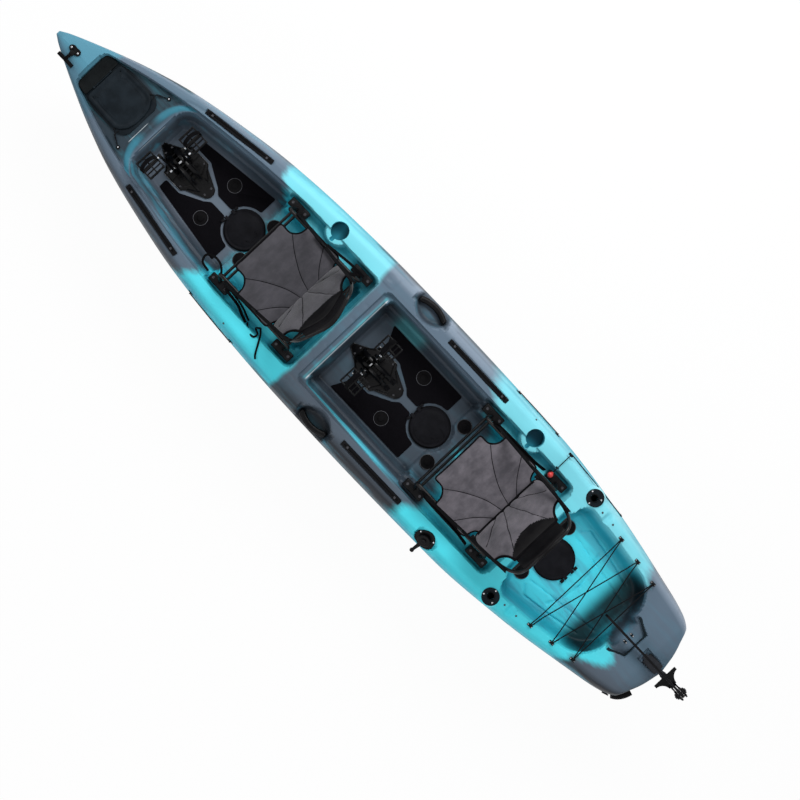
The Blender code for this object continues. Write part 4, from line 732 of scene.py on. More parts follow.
# painted shade, darker low in the wells and darkest in their deepest corners
deep = hollow * (back.rises(0.95, 1.25) * 0.60 + 0.40) * (1 - glow * 0.6)
low = zones(tone(20, 74, 88), tone(52, 61, 71), tone(8, 158, 182))
colour = shell.mix(deep.rises(0.04, 0.34) * 0.62, colour, low)
deepest_painted_shade = zones(tone(8, 36, 46), tone(24, 29, 36), tone(0, 54, 72))
colour = shell.mix(deep.rises(0.22, 0.80) * 0.92, colour, deepest_painted_shade)
# dark cloudy patches at the tail of the tank well, by its rear wall
tail_dark_patches = back.near(3.90, 0.03, 0.12) * wide.falls(0.20, 0.29) * clouds.rises(0.20, 0.44)
tail_dark_patches = tail_dark_patches * z.falls(0.265, 0.285)
tail_patch_colours = shell.mix(streaks.rises(0.34, 0.52), tone(12, 54, 64), tone(8, 16, 22))
colour = shell.mix(tail_dark_patches * 0.96, colour, tail_patch_colours)
# painted shade in the finger recess under the port carry handle
bay = back.near(SIDE_HANDLES, 0.085, 0.10) * y.rises(0.34, 0.36) * z.falls(0.265, 0.285)
colour = shell.mix(bay * 0.85, colour, tone(24, 28, 33))
# painted shadow that the front seat's back casts on the well behind it
seat_back_shadow = back.rises(1.77, 1.85) * back.falls(1.93, 1.95) * sunk.rises(0.0, 0.03)
colour = shell.mix(seat_back_shadow * 0.75, colour, tone(0, 54, 68))
# a bright edge along the port side of the rear footwell, and painted highlights: thin pale lines along the
# footwells' front lips and the front edge of the rib behind the bow hatch
edge = (wide - (back - 2.045) * 0.042).near(0.2815, 0.004, 0.014) * y.rises(0.0, 0.05)
edge = edge * back.rises(2.05, 2.09) * back.falls(2.50, 2.75) * z.rises(0.235, 0.250)
colour = shell.mix(edge * 0.85, colour, tone(92, 204, 224))
top = z.rises(0.250, 0.258)
lip = back.near(2.036, 0.004, 0.011) * wide.falls(0.27, 0.29) * top
colour = shell.mix(lip * (teal * 0.4 + 0.45), colour, tone(96, 176, 188))
for place, thin, low, high, strength in (
    (2.0445, 0.0042, -0.272, 0.276, 0.95), (0.6160, 0.0026, -0.012, 0.112, 0.65),
    (0.6815, 0.0030, -0.066, 0.108, 0.75),
):
    painted_glint = back.near(place, thin * 0.4, thin) * top
    painted_glint = painted_glint * y.rises(low - 0.01, low + 0.01) * y.falls(high - 0.01, high + 0.01)
    colour = shell.mix(painted_glint * strength, colour, tone(214, 222, 226))
shell.set("Base Color", colour)
shell.set("Roughness", 0.34 + clouds * 0.16)
shell.bump(shell.noise(where, 420.0, 2.0), 0.0004, 0.35)
cover(hull, shell)


def skin(back, y_, from_side=0):
    """The hull's surface below a place on the deck, or in from a side at a height, and its way out."""
    if from_side:
        _, spot, way, _ = hull.ray_cast((at(back), from_side, y_), (0, -from_side, 0))
    else:
        _, spot, way, _ = hull.ray_cast((at(back), y_, 1), (0, 0, -1))
    return spot.copy(), way.copy()


# Seats. Each is a bent, black-painted tube frame on four moulded feet, with a padded cloth laced over
# its rails, and a back that folds on two pins and is held up by a webbing strap at each side.

SIDES = (("port", 1), ("starboard", -1))
SEATS = (1.4065, 2.786)
RAIL_HALF = 0.228
RAIL_Z = 0.368
PIVOT_BACK = 0.358
PIVOT_Z = 0.418
BACK_LINE = ((0.418, 0.0), (0.46, 0.008), (0.56, 0.042), (0.66, 0.098), (0.74, 0.135), (0.780, 0.148))


def loft(name, rings, smooth, closed=False, uv=None):
    """A closed skin over rings of as many points each. closed joins the last ring to the first."""
    rings = np.asarray(rings, float)
    count, around = rings.shape[:2]
    index = np.arange(count * around).reshape(count, around)
    here, ahead = (index, np.roll(index, -1, 0)) if closed else (index[:-1], index[1:])
    faces = np.stack((here, np.roll(here, -1, 1), np.roll(ahead, -1, 1), ahead), 2).reshape(-1, 4).tolist()
    if not closed:
        faces += [index[0][::-1].tolist(), index[-1].tolist()]
    mesh = bpy.data.meshes.new(name)
    mesh.from_pydata(rings.reshape(-1, 3).tolist(), [], faces)
    if uv is not None:
        layer = mesh.uv_layers.new(name="cloth")
        flat = np.asarray(uv, float).reshape(-1, 2)
        corners = np.empty(len(mesh.loops), int)
        mesh.loops.foreach_get("vertex_index", corners)
        layer.data.foreach_set("uv", flat[corners].ravel())
    shape = bmesh.new()
    shape.from_mesh(mesh)
    bmesh.ops.recalc_face_normals(shape, faces=shape.faces)
    shape.to_mesh(mesh)
    shape.free()
    made = bpy.data.objects.new(name, mesh)
    bpy.context.scene.collection.objects.link(made)
    return smooth_by_angle(made, smooth)


def curve(points, step_):
    """Even points along a smooth line through a few given ones."""
    knots = np.array(points, float)
    ends = np.concatenate((2 * knots[:1] - knots[1:2], knots, 2 * knots[-1:] - knots[-2:-1]))
    made = []
    for a, b, c, d in zip(ends, ends[1:], ends[2:], ends[3:]):
        ab, bc, cd = (max(np.linalg.norm(q - p) ** 0.5, 1e-4) for p, q in ((a, b), (b, c), (c, d)))
        into = ((b - a) / ab - (c - a) / (ab + bc)) * bc + (c - b)
        out = ((d - c) / cd - (d - b) / (bc + cd)) * bc + (c - b)
        count = max(2, int(np.linalg.norm(c - b) / step_))
        for t in np.arange(count) / count:
            t2, t3 = t * t, t * t * t
            place = b * (2 * t3 - 3 * t2 + 1) + into * (t3 - 2 * t2 + t)
            made.append(place + c * (3 * t2 - 2 * t3) + out * (t3 - t2))
    made.append(knots[-1])
    return np.array(made)


def sweep(name, path, wide, tall=None, sides=12, closed=False, up=(0, 0, 1)):
    """A tube, or a flat strap with wide and tall half sizes, along a line of points."""
    path = np.array(path, float)
    path = path[np.linalg.norm(path - np.roll(path, 1, 0), axis=1) > 1e-5] if closed else path
    around = np.roll(path, -1, 0) - np.roll(path, 1, 0)
    if not closed:
        around[0], around[-1] = path[1] - path[0], path[-1] - path[-2]
    tangent = around / np.linalg.norm(around, axis=1, keepdims=True)
    across = []
    last = np.cross(tangent[0], up) if tall is not None else np.cross(tangent[0], (0.31, 0.17, 0.93))
    for t in tangent:
        if tall is not None:
            last = np.cross(t, up)
        last = last - t * np.dot(last, t)
        last = last / np.linalg.norm(last)
        across.append(last)
    across = np.array(across)
    over = np.cross(across, tangent)
    tall = wide if tall is None else tall
    if wide > 3 * tall or tall > 3 * wide:
        corners = [(-1, -0.6), (-0.94, -1), (0.94, -1), (1, -0.6), (1, 0.6), (0.94, 1), (-0.94, 1), (-1, 0.6)]
    else:
        corners = [(math.cos(a), math.sin(a)) for a in np.arange(sides) * 2 * math.pi / sides]
    rings = [path + across * (u * wide) + over * (v * tall) for u, v in corners]
    return loft(name, np.stack(rings, 1), 40, closed)


def join(name, pieces):
    """Joins pieces into one, which keeps each one's finish."""
    alone(pieces[0])
    for other in pieces[1:]:
        other.select_set(True)
    if len(pieces) > 1:
        bpy.ops.object.join()
    bpy.context.object.name = name
    return bpy.context.object


def block(low, high, bevel, segments=2):
    """A box between two corners, with its edges rounded."""
    low, high = Vector(low), Vector(high)
    bpy.ops.object.select_all(action="DESELECT")
    bpy.ops.mesh.primitive_cube_add(size=1)
    made = bpy.context.object
    made.data.transform(Matrix.Translation((low + high) / 2) @ Matrix.Diagonal((*(high - low), 1)))
    return soften(made, bevel, segments)


def soften(piece, width, segments=2, degrees=40):
    """Rounds the sharp edges of a piece."""
    if not width:
        return piece
    edge = piece.modifiers.new("edges", "BEVEL")
    edge.width, edge.segments = width, segments
    edge.limit_method, edge.angle_limit = "ANGLE", math.radians(degrees)
    alone(piece)
    bpy.ops.object.modifier_apply(modifier=edge.name)
    return smooth_by_angle(piece, 30)


def settled(made):
    """Takes a new object's place into its mesh."""
    made.data.transform(made.matrix_world)
    made.matrix_world = Matrix.Identity(4)
    return made


def cylinder(place, radius, depth, vertices=48):
    bpy.ops.object.select_all(action="DESELECT")
    bpy.ops.mesh.primitive_cylinder_add(vertices=vertices, radius=radius, depth=depth, location=place)
    return settled(bpy.context.object)


def disc(centre, out, radius, depth, steps, vertices, bevel=0.0008):
    """A round piece. Its top face is inset and raised, pair by pair, and it faces along out."""
    made = cylinder((0, 0, depth / 2), radius, depth, vertices)
    bpy.ops.object.mode_set(mode="EDIT")
    bpy.ops.mesh.select_mode(type="FACE")
    bpy.ops.mesh.select_all(action="DESELECT")
    shape = bmesh.from_edit_mesh(made.data)
    shape.faces.ensure_lookup_table()
    top = max(shape.faces, key=lambda face: face.calc_center_median().z)
    top.select_set(True)
    bmesh.update_edit_mesh(made.data)
    for inset, lift in steps:
        bpy.ops.mesh.inset(thickness=inset)
        bpy.ops.transform.translate(value=(0, 0, lift))
    bpy.ops.object.mode_set(mode="OBJECT")
    if bevel:
        soften(made, bevel)
    turned_ = Vector(out).to_track_quat("Z", "Y").to_matrix().to_4x4()
    made.data.transform(Matrix.Translation(centre) @ turned_)
    return made


def plastic(name, colour, rough, grain=0.5, scale=380.0, shift=0.12, **more):
    """A moulded plastic: faint clouding in its colour and shine, and a fine grain."""
    made = Finish(name, Roughness=rough, **more)
    where_ = made.place()[0]
    cloud = made.noise(where_, 14.0, 4.0, 0.6)
    dark = tuple(c * (1 - shift) for c in colour[:3]) + (1.0,)
    light = tuple(min(1.0, c * (1 + shift) + 0.003) for c in colour[:3]) + (1.0,)
    made.set("Base Color", made.mix(cloud.rises(0.3, 0.7), dark, light))
    made.set("Roughness", rough - 0.06 + cloud * 0.12)
    made.bump(made.noise(where_, scale, 2.0), 0.0003, grain)
    return made


def seat_cloth_finish(name, dark, light):
    """A spacer-mesh cloth with small open cells in rows, and painted shade in the hollows of its folds and
    cells.
    """
    made = Finish(name, Roughness=0.86, Sheen_Weight=0.15, Sheen_Roughness=0.6)
    where_ = made.place()[0]
    uv = made.node("ShaderNodeUVMap", {"uv_map": "cloth"})
    parts = made.nodes.new("ShaderNodeSeparateXYZ")
    made.wire(parts.inputs[0], uv)
    u, v = (Socket(made, part) for part in parts.outputs[:2])
    cells = (u * 2400).does("SINE") * (v * 2400).does("SINE")
    cloud = made.noise(where_, 11.0, 4.0, 0.6)
    fold = made.noise(made.stretched(where_, (2.2, 1.0, 1.0)), 19.0, 2.0, 0.5)
    share_ = cloud.rises(0.28, 0.72) * 0.7 + fold.rises(0.35, 0.7) * 0.3
    plain = made.mix(share_, dark, light)
    deep = tuple(c * 0.55 for c in dark[:3]) + (1.0,)
    made.set("Base Color", made.mix(cells.rises(0.2, 0.95) * 0.45, plain, deep))
    made.bump(cells * -0.5 + fold * 0.8, 0.0007, 0.5)
    return made


FRONT_CLOTH = seat_cloth_finish("dark_mesh_cloth", tone(42, 41, 47), tone(68, 66, 73))
REAR_CLOTH = seat_cloth_finish("grey_mesh_cloth", tone(62, 59, 66), tone(106, 101, 108))
BINDING = plastic("binding_tape", tone(5, 4, 6), 0.80, 0.8, 900.0, Specular_IOR_Level=0.05)
TUBING = plastic(
    "painted_tube", tone(5, 5, 7), 0.28, 0.12, 240.0,
    Specular_IOR_Level=0.13, Coat_Weight=0.15, Coat_Roughness=0.10,
)
VINYL = plastic("head_vinyl", tone(6, 5, 7), 0.38, 0.35, 520.0, Specular_IOR_Level=0.1)
MOULDED = plastic("black_moulding", tone(5, 5, 7), 0.36, 0.4, 420.0, Specular_IOR_Level=0.1)
WEBBING = plastic("webbing", tone(4, 4, 6), 0.85, 0.9, 1300.0, Specular_IOR_Level=0.05)


def seat(start, back, y_, z_):
    return (at(start + back), y_, z_)


def back_line(z_, shape):
    """How far behind its pivot the back is. The shape is its extra recline and its bend rearwards."""
    return line(BACK_LINE, z_) + shape[0] * (z_ - PIVOT_Z)


def back_at(z_, y_, shape):
    bow = shape[1] * 0.5 * (1 + np.cos(math.pi * np.minimum(np.abs(y_) / 0.19, 1)))
    return PIVOT_BACK + back_line(z_, shape) + bow * np.clip((z_ - 0.46) / 0.22, 0, 1)


def smooth_outline(points):
    return curve([(a, b, 0) for a, b in points], 0.008)[:, :2]


def seam_depth(back, y_, seams, wide):
    """How deep the sewn channels are at each place, from 0 to 1."""
    deep = np.zeros(back.shape)
    for points in seams:
        path = curve([(a, b, 0) for a, b in points], 0.02)[:, :2]
        for side in (1, -1):
            far = outside_line(back, y_, [(a, side * b) for a, b in path])
            deep = np.maximum(deep, 1 - step(0, wide, far))
    return deep


PAN_SEAMS = (
    ((0.090, 0.158), (0.162, 0.104), (0.274, 0.044), (0.372, 0.018)),
    ((0.240, 0.222), (0.302, 0.134), (0.372, 0.066)),
)


def make_pan(direction, start, front_edge, hump, finish_):
    half = [(front_edge, 0.0), (front_edge, 0.05), (front_edge, 0.10), (front_edge + 0.001, 0.146)]
    half += [(0.060, 0.148), (0.082, 0.150), (0.104, 0.166), (0.120, 0.192), (0.124, 0.220)]
    half += [(0.128, 0.2365), (0.17, 0.2375), (0.25, 0.2375), (0.325, 0.2365)]
    half += [(0.331, 0.222), (0.335, 0.205), (0.346, 0.182), (0.364, 0.170), (0.3765, 0.164)]
    half += [(0.3785, 0.11), (0.3790, 0.05), (0.3790, 0.0)]
    port = smooth_outline(half)
    outline = np.concatenate((port, (port * (1, -1))[1:-1][::-1]))
    middle = np.array((0.205, 0.0))
    shares = np.concatenate((np.linspace(0.02, 0.90, 56), (0.93, 0.96, 0.98, 0.995)))
    places = middle + (outline - middle) * shares[:, None, None]
    back, y_ = places[..., 0], places[..., 1]
    seams = seam_depth(back, y_, PAN_SEAMS, 0.011)
    edge = np.clip((1 - shares) / 0.30, 0, 1)[:, None] ** 0.6
    along = np.clip((back - front_edge) / (0.379 - front_edge), 0, 1)
    sag = np.sin(math.pi * along) * (1 - (y_ / 0.24) ** 2)
    ridge = np.exp(-((along - 0.16) / 0.14) ** 2) * (1 - (y_ / 0.27) ** 2)
    wrap_ = -0.010 * np.clip((np.abs(y_) - 0.226) / 0.0115, 0, 1) ** 2
    top = RAIL_Z + 0.0115 + 0.005 * edge * (1 - 0.75 * seams)
    top = top + hump * (0.55 * ridge + 0.25 * edge) - 0.004 * sag + wrap_
    under = top - 0.0045 - 0.004 * edge
    uv = np.stack((back, y_), 2)
    rings = [np.stack((at(start + b), w, h), 1) for b, w, h in zip(back, y_, top)]
    rings += [np.stack((at(start + b), w, h), 1) for b, w, h in zip(back[::-1], y_[::-1], under[::-1])]
    pan = loft(direction + "_pan_cloth", rings, uv=np.concatenate((uv, uv[::-1])), smooth=60)
    cover(pan, finish_)
    rim = np.stack((at(start + outline[:, 0]), outline[:, 1], (top[-1] + under[-1]) / 2), 1)
    # tape round the edge, and the seams themselves as fine piping sunk in their channels
    piping = [cover(sweep("tape", rim, 0.0058, 0.0036, 10, True), BINDING)]
    for points in PAN_SEAMS:
        path = curve([(a, b, 0) for a, b in points], 0.010)[:, :2]
        for side in (1, -1):
            heights = []
            for b, w in path:
                near = np.argmin(np.hypot(back - b, y_ - side * w))
                heights.append(top.ravel()[near] + 0.0002)
            heights = np.convolve(np.pad(heights, 2, "edge"), np.ones(5) / 5, "valid")
            points_ = np.stack((at(start + path[:, 0]), side * path[:, 1], heights), 1)
            piping.append(cover(sweep("piping", points_, 0.0018, sides=6), BINDING))
    pan = join(direction + "_pan_cloth", [pan] + piping)
    placed(pan, "hull", direction + "_seat_fabric")


BACK_SEAMS = (
    ((0.455, 0.018), (0.53, 0.040), (0.61, 0.078), (0.668, 0.108)),
    ((0.455, 0.062), (0.50, 0.110), (0.56, 0.192)),
)


def make_back_cloth(direction, start, finish_, shape):
    heights = np.concatenate((np.linspace(0.4405, 0.628, 30), np.linspace(0.633, 0.6995, 16)))
    edge = ((0.4405, 0.183), (0.462, 0.2035), (0.50, 0.2125), (0.58, 0.2125), (0.628, 0.206), (0.70, 0.206))
    wide = line(edge, heights)
    bend = 0.206 - np.sqrt(np.maximum(0.0745 ** 2 - (0.7025 - heights) ** 2, 0))
    wide = np.where(heights > 0.628, bend, wide)
    across = np.concatenate((np.linspace(-1, 1, 61), np.linspace(1, -1, 61)))
    front = np.arange(122) < 61
    z_ = np.repeat(heights[:, None], 122, 1)
    y_ = wide[:, None] * across
    middle = back_at(z_, y_, shape)
    slope = (back_line(z_ + 0.01, shape) - back_line(z_ - 0.01, shape)) / 0.02
    clear = 0.0085 * np.sqrt(1 + slope * slope)
    seams = seam_depth(z_, y_, BACK_SEAMS, 0.011)
    end = np.minimum(1, np.minimum(heights - 0.4405, 0.6995 - heights) / 0.03)[:, None]
    edge = np.sqrt(np.clip(1 - across ** 4, 0, 1)) * np.clip(end, 0, 1) ** 0.5
    thick = 0.0035 + (0.0075 * (1 - 0.75 * seams) + 0.003) * edge
    depth = np.where(front, clear + thick, clear + 0.001 * edge)
    run = np.concatenate(([0], np.cumsum(np.hypot(np.diff(heights), np.diff(back_line(heights, shape))))))
    uv = np.stack((y_, np.repeat(run[:, None], 122, 1)), 2)
    rings = np.stack((at(start + middle - depth), y_, z_), 2)
    back = cover(loft(direction + "_back_cloth", rings, uv=uv, smooth=60), finish_)
    # the head's vinyl comes down over the middle of the cloth
    back.data.materials.append(VINYL.material)
    for face in back.data.polygons:
        place = face.center
        face.material_index = int(place.z > 0.632 + 0.050 * (place.y / 0.13) ** 2)
    lower_edge = (rings[0, :61] + rings[0, 61:][::-1]) / 2
    upper_edge = (rings[-1, :61] + rings[-1, 61:][::-1]) / 2
    port = (rings[:, 60] + rings[:, 61]) / 2
    starboard = (port * (1, -1, 1))[::-1][1:-1]
    loop = np.concatenate((lower_edge[::3], port[1:], upper_edge[::-1][1::3], starboard))
    piping = [cover(sweep("tape", loop, 0.0072, 0.0050, 10, True, up=(1, 0, 0.4)), BINDING)]
    if direction == "rear":
        piping.append(cover(sweep("fold", rings[3, 3:58:3], 0.0070, sides=8), BINDING))
    for points in BACK_SEAMS:
        path = curve([(a, b, 0) for a, b in points], 0.010)[:, :2]
        for side in (1, -1):
            made = []
            for h, w in path:
                row = int(np.argmin(np.abs(heights - h)))
                column = int(np.argmin(np.abs(y_[row, :61] - side * w)))
                made.append(rings[row, column] + (0.0002, 0, 0.0001))
            seam = curve(made[:-1:2] + made[-1:], 0.006)
            piping.append(cover(sweep("piping", seam, 0.0018, sides=6), BINDING))
    # the head: a padded vinyl panel sewn over the top of the tube
    rows = []
    for angle in np.linspace(0, 2 * math.pi, 36, endpoint=False):
        c, s = math.cos(angle), math.sin(angle)
        rows.append((math.copysign(abs(c) ** 0.35, c), math.copysign(abs(s) ** 0.4, s)))
    rings_ = []
    for share_ in np.linspace(-1, 1, 41):
        tall = 0.0415 * (1 - 0.25 * abs(share_) ** 3)
        centre = 0.7385 - 0.008 * share_ ** 2
        around = []
        for c, s in rows:
            h = centre + tall * s
            puff = 0.0045 * (1 - share_ ** 4) * max(0.0, -c)
            out_ = 0.0098 * c - puff + (0.0005 if c > 0 else -0.0015)
            around.append(seat(start, back_at(h, 0.1275 * share_, shape) + out_, 0.1275 * share_, h))
        rings_.append(around)
    head = cover(loft("head", rings_, smooth=60), VINYL)
    back = join(direction + "_back_cloth", [back] + piping + [head])
    placed(back, direction + "_seat_back", direction + "_seat_back_fabric")


def make_seat_frame(direction, start, shape):
    base = []
    for side in (1, -1):
        path = [
            seat(start, 0.014, side * 0.262, 0.262), seat(start, 0.008, side * 0.252, 0.295),
            seat(start, -0.004, side * 0.236, 0.335), seat(start, 0.000, side * 0.229, 0.360),
            seat(start, 0.050, side * RAIL_HALF, RAIL_Z), seat(start, 0.2, side * RAIL_HALF, RAIL_Z),
            seat(start, 0.41, side * RAIL_HALF, RAIL_Z), seat(start, 0.455, side * 0.229, 0.362),
            seat(start, 0.474, side * 0.236, 0.335), seat(start, 0.466, side * 0.252, 0.295),
            seat(start, 0.460, side * 0.262, 0.262),
        ]
        base.append(cover(sweep("rail", curve(path, 0.008), 0.0098, sides=16), TUBING))
        for back in (0.014, 0.460):
            low = seat(start, back + 0.060, side * 0.2665 - 0.0225, LEDGE_Z + 0.0003)
            high = seat(start, back - 0.060, side * 0.2665 + 0.0225, LEDGE_Z + 0.0483)
            base.append(cover(block(low, high, 0.006, 3), MOULDED))
            for along in (-0.042, 0.042):
                spot = seat(start, back + along, side * 0.2665, LEDGE_Z + 0.0480)
                screw = disc(spot, (0, 0, 1), 0.007, 0.0022, ((0.002, 0), (0.0005, -0.001)), 20, 0.0004)
                base.append(cover(screw, DARK_STEEL))
            strip = [seat(start, back + u, side * 0.2665, LEDGE_Z + 0.0495) for u in (-0.024, 0.024)]
            base.append(cover(sweep("clip", np.array(strip), 0.018, 0.0032, up=(0, 0, 1)), MOULDED))
        pin = Vector(seat(start, PIVOT_BACK, side * 0.223, PIVOT_Z))
        reach = Vector((0.013, 0.003, 0))
        base.append(cover(block(Vector((pin.x, pin.y, RAIL_Z)) - reach, pin + reach, 0.0015), TUBING))
        inner = pin - Vector((0, side * 0.004, 0))
        knuckle = disc(inner, (0, side, 0), 0.0135, 0.008, ((0.004, 0), (0.0005, 0.001)), 24)
        base.append(cover(knuckle, MOULDED))
        base.append(cover(disc(pin, (0, -side, 0), 0.0045, 0.0255, (), 16, 0.0005), STEEL))
    for back in (0.002, 0.026, 0.460):
        ends = np.array([seat(start, back, y_, 0.264) for y_ in np.linspace(-0.277, 0.277, 24)])
        base.append(cover(sweep("cross", ends, 0.0074, sides=14), TUBING))
    placed(join(direction + "_seat_tubes", base), "hull", direction + "_seat_base_frame")
    heights = (0.418, 0.455, 0.50, 0.58, 0.66, 0.715, 0.749, 0.768, 0.772, 0.772, 0.772)
    across = (0.206, 0.206, 0.207, 0.205, 0.196, 0.178, 0.157, 0.128, 0.09, 0.055, 0.02)
    port = [seat(start, float(back_at(h, y_, shape)), y_, h) for h, y_ in zip(heights, across)]
    path = port + [(x_, -y_, z_) for x_, y_, z_ in reversed(port)]
    back = [cover(sweep("arch", curve(path, 0.008), 0.0080, sides=16), TUBING)]
    level, half = 0.715, 0.178
    ends = [seat(start, float(back_at(level, y_, shape)), y_, level) for y_ in np.linspace(-half, half, 20)]
    back.append(cover(sweep("bar", ends, 0.0058, sides=12), TUBING))
    for side in (1, -1):
        pivot = seat(start, PIVOT_BACK, side * 0.1985, PIVOT_Z)
        hub = disc(pivot, (0, side, 0), 0.0125, 0.0165, ((0.003, 0), (0.0006, -0.0012)), 28)
        back.append(cover(hub, MOULDED))
    arch = join(direction + "_back_tubes", back)
    placed(arch, direction + "_seat_back", direction + "_seat_back_frame")


STEEL = plastic("stainless_steel", tone(186, 188, 192), 0.28, 0.15, 200.0, Metallic=1.0)
DARK_STEEL = plastic("blackened_steel", tone(58, 58, 62), 0.34, 0.15, 200.0, Metallic=0.7)
SHAPES = {"front": (0.0, 0.040), "rear": (0.19, 0.0)}
for direction, start, front_edge, hump, finish_ in (
    ("front", SEATS[0], 0.0225, 0.022, FRONT_CLOTH), ("rear", SEATS[1], 0.0345, 0.030, REAR_CLOTH),
):
    make_pan(direction, start, front_edge, hump, finish_)
    make_back_cloth(direction, start, finish_, SHAPES[direction])
    make_seat_frame(direction, start, SHAPES[direction])


# Straps. Black webbing from a loop low on each rail up to the side of the back, with a ladder buckle
# on its way, and looped spare ends beside the seats.

def ribbon(points, half, up=None):
    """A run of webbing along a smooth line, with its width along up, or lying flat."""
    route = curve(points, 0.008)
    if up is None:
        return cover(sweep("webbing", route, half, 0.0022), WEBBING)
    return cover(sweep("webbing", route, 0.0013, half, up=up), WEBBING)


for direction, start in zip(("front", "rear"), SEATS):
    lean = SHAPES[direction][0]
    for label, side in SIDES:
        path = np.array([
            seat(start, 0.036, side * 0.2398, 0.366), seat(start, 0.066, side * 0.2398, 0.390),
            seat(start, PIVOT_BACK + 0.042 + lean * 0.227, side * 0.2062, 0.645),
            seat(start, PIVOT_BACK + 0.114 + lean * 0.282, side * 0.1980, 0.700),
        ])
        runs = [np.linspace(a, b, 12) for a, b in zip(path, path[1:])]
        route = np.concatenate((runs[0], runs[1][1:], runs[2][1:]))
        strap = cover(sweep("strap", route, 0.0014, 0.0118, up=(0, -side * 0.5, 0.87)), WEBBING)
        spot = Vector(route[17])
        run = (Vector(route[18]) - Vector(route[16])).normalized()
        buckle = block((-0.016, -0.0032, -0.0150), (0.016, 0.0032, 0.0150), 0.002, 2)
        buckle.data.transform(Matrix.Translation(spot) @ run.to_track_quat("X", "Z").to_matrix().to_4x4())
        strap = join(direction + "_" + label + "_webbing", [strap, cover(buckle, MOULDED)])
        low, high = seat(start, 0.10, side * 0.235, 0.41), seat(start, 0.39, side * 0.207, 0.64)
        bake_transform(strap)
        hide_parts(direction + "_seat_" + label + "_strap")


def loose_webbing(name, runs):
    """Spare webbing in small loops and tails; each run is its points, half width and up."""
    placed(join(name, [ribbon(*run) for run in runs]), "hull", None)


loose_webbing("front_spare_webbing", (
    ([
        (0.640, 0.262, 0.300), (0.690, 0.250, 0.306), (0.702, 0.216, 0.304), (0.668, 0.192, 0.303),
        (0.622, 0.196, 0.300), (0.590, 0.222, 0.292), (0.575, 0.243, 0.286),
    ], 0.0058),
    ([
        (0.520, 0.262, 0.300), (0.470, 0.266, 0.290), (0.420, 0.272, 0.283), (0.368, 0.292, 0.280),
        (0.335, 0.302, 0.279),
    ], 0.0080, (0, 1, 0.8)),
    ([
        (0.505, 0.247, 0.300), (0.455, 0.252, 0.286), (0.400, 0.262, 0.276), (0.330, 0.286, 0.276),
    ], 0.0060, (0, 1, 1)),
    ([
        (0.330, 0.296, 0.280), (0.292, 0.322, 0.292), (0.256, 0.322, 0.302), (0.252, 0.298, 0.300),
        (0.280, 0.286, 0.290), (0.262, 0.268, 0.300),
    ], 0.0050),
    ([
        (0.262, 0.268, 0.300), (0.240, 0.290, 0.310), (0.215, 0.330, 0.308), (0.185, 0.378, 0.305),
        (0.172, 0.390, 0.304),
    ], 0.0050),
))
loose_webbing("front_starboard_spare_webbing", (
    ([
        (0.395, -0.228, 0.396), (0.300, -0.222, 0.402), (0.205, -0.214, 0.404), (0.160, -0.222, 0.398),
        (0.128, -0.246, 0.380),
    ], 0.0080, (0, 1, 0.7)),
    ([
        (0.330, -0.240, 0.386), (0.250, -0.252, 0.376), (0.170, -0.262, 0.352), (0.100, -0.264, 0.320),
    ], 0.0070, (0, 1, 0.6)),
))
loose_webbing("rear_spare_webbing", [([
    (-0.830, side * 0.242, 0.384), (-0.900, side * 0.248, 0.372), (-1.000, side * 0.250, 0.366),
    (-1.100, side * 0.252, 0.352), (-1.180, side * 0.262, 0.300),
], 0.0085, (0, side, 0.8)) for side in (1, -1)])


# Foot mats. Black closed-cell foam, die-cut and stuck to the footwell floors beside each drive, with
# a large hole round each scupper.

def refined(name, node, corner, edge):
    """A finer copy of a CAD piece: merged, with its upright corners and its edges rounded."""
    made = bpy.data.objects.new(name, frame["nodes"][node].data.copy())
    bpy.context.scene.collection.objects.link(made)
    made.data.materials.clear()
    shape = bmesh.new()
    shape.from_mesh(made.data)
    bmesh.ops.remove_doubles(shape, verts=shape.verts, dist=2e-5)
    bmesh.ops.dissolve_limit(shape, angle_limit=math.radians(0.5), verts=shape.verts, edges=shape.edges)
    if corner:
        upright_ = []
        for side in shape.edges:
            run = side.verts[1].co - side.verts[0].co
            steep = abs(run.z) > 0.99 * run.length
            if steep and side.is_manifold and side.calc_face_angle() > math.radians(24):
                upright_.append(side)
        bmesh.ops.bevel(
            shape, geom=upright_, offset=corner, segments=4, profile=0.5, affect="EDGES", clamp_overlap=True,
        )
    shape.to_mesh(made.data)
    shape.free()
    alone(made)
    return soften(made, edge, 2, 30) if edge else smooth_by_angle(made, 40)


FOAM = Finish("closed_cell_foam", Roughness=0.93, Specular_IOR_Level=0.09)
where, x, y, z = FOAM.place()
speckle = FOAM.noise(where, 260.0, 3.0, 0.6)
scuff = FOAM.noise(where, 7.0, 4.0, 0.6)
diamonds = ((x + y) * 520).does("SINE") * ((x - y) * 520).does("SINE")
FOAM.set("Base Color", FOAM.mix(speckle * 0.5 + scuff.rises(0.4, 0.8) * 0.5, tone(7, 6, 9), tone(15, 13, 18)))
FOAM.bump(diamonds * 0.6 + speckle * 0.5, 0.0006, 0.5)
for direction in ("front", "rear"):
    for label in ("port", "starboard"):
        node = direction + "_" + label + "_foot_mat"
        placed(refined(direction + "_" + label + "_mat", node, 0.010, 0.0010), "hull", node, FOAM)


# Scupper plugs. Rubber bungs pushed up into the drain holes from above, each with a flange and a
# raised knob to pull it by.

def copy_of(piece, centre, turn):
    other = bpy.data.objects.new(piece.name, piece.data.copy())
    bpy.context.scene.collection.objects.link(other)
    other.data.transform(Matrix.Translation(centre) @ Matrix.Rotation(turn, 4, "Z"))
    return other


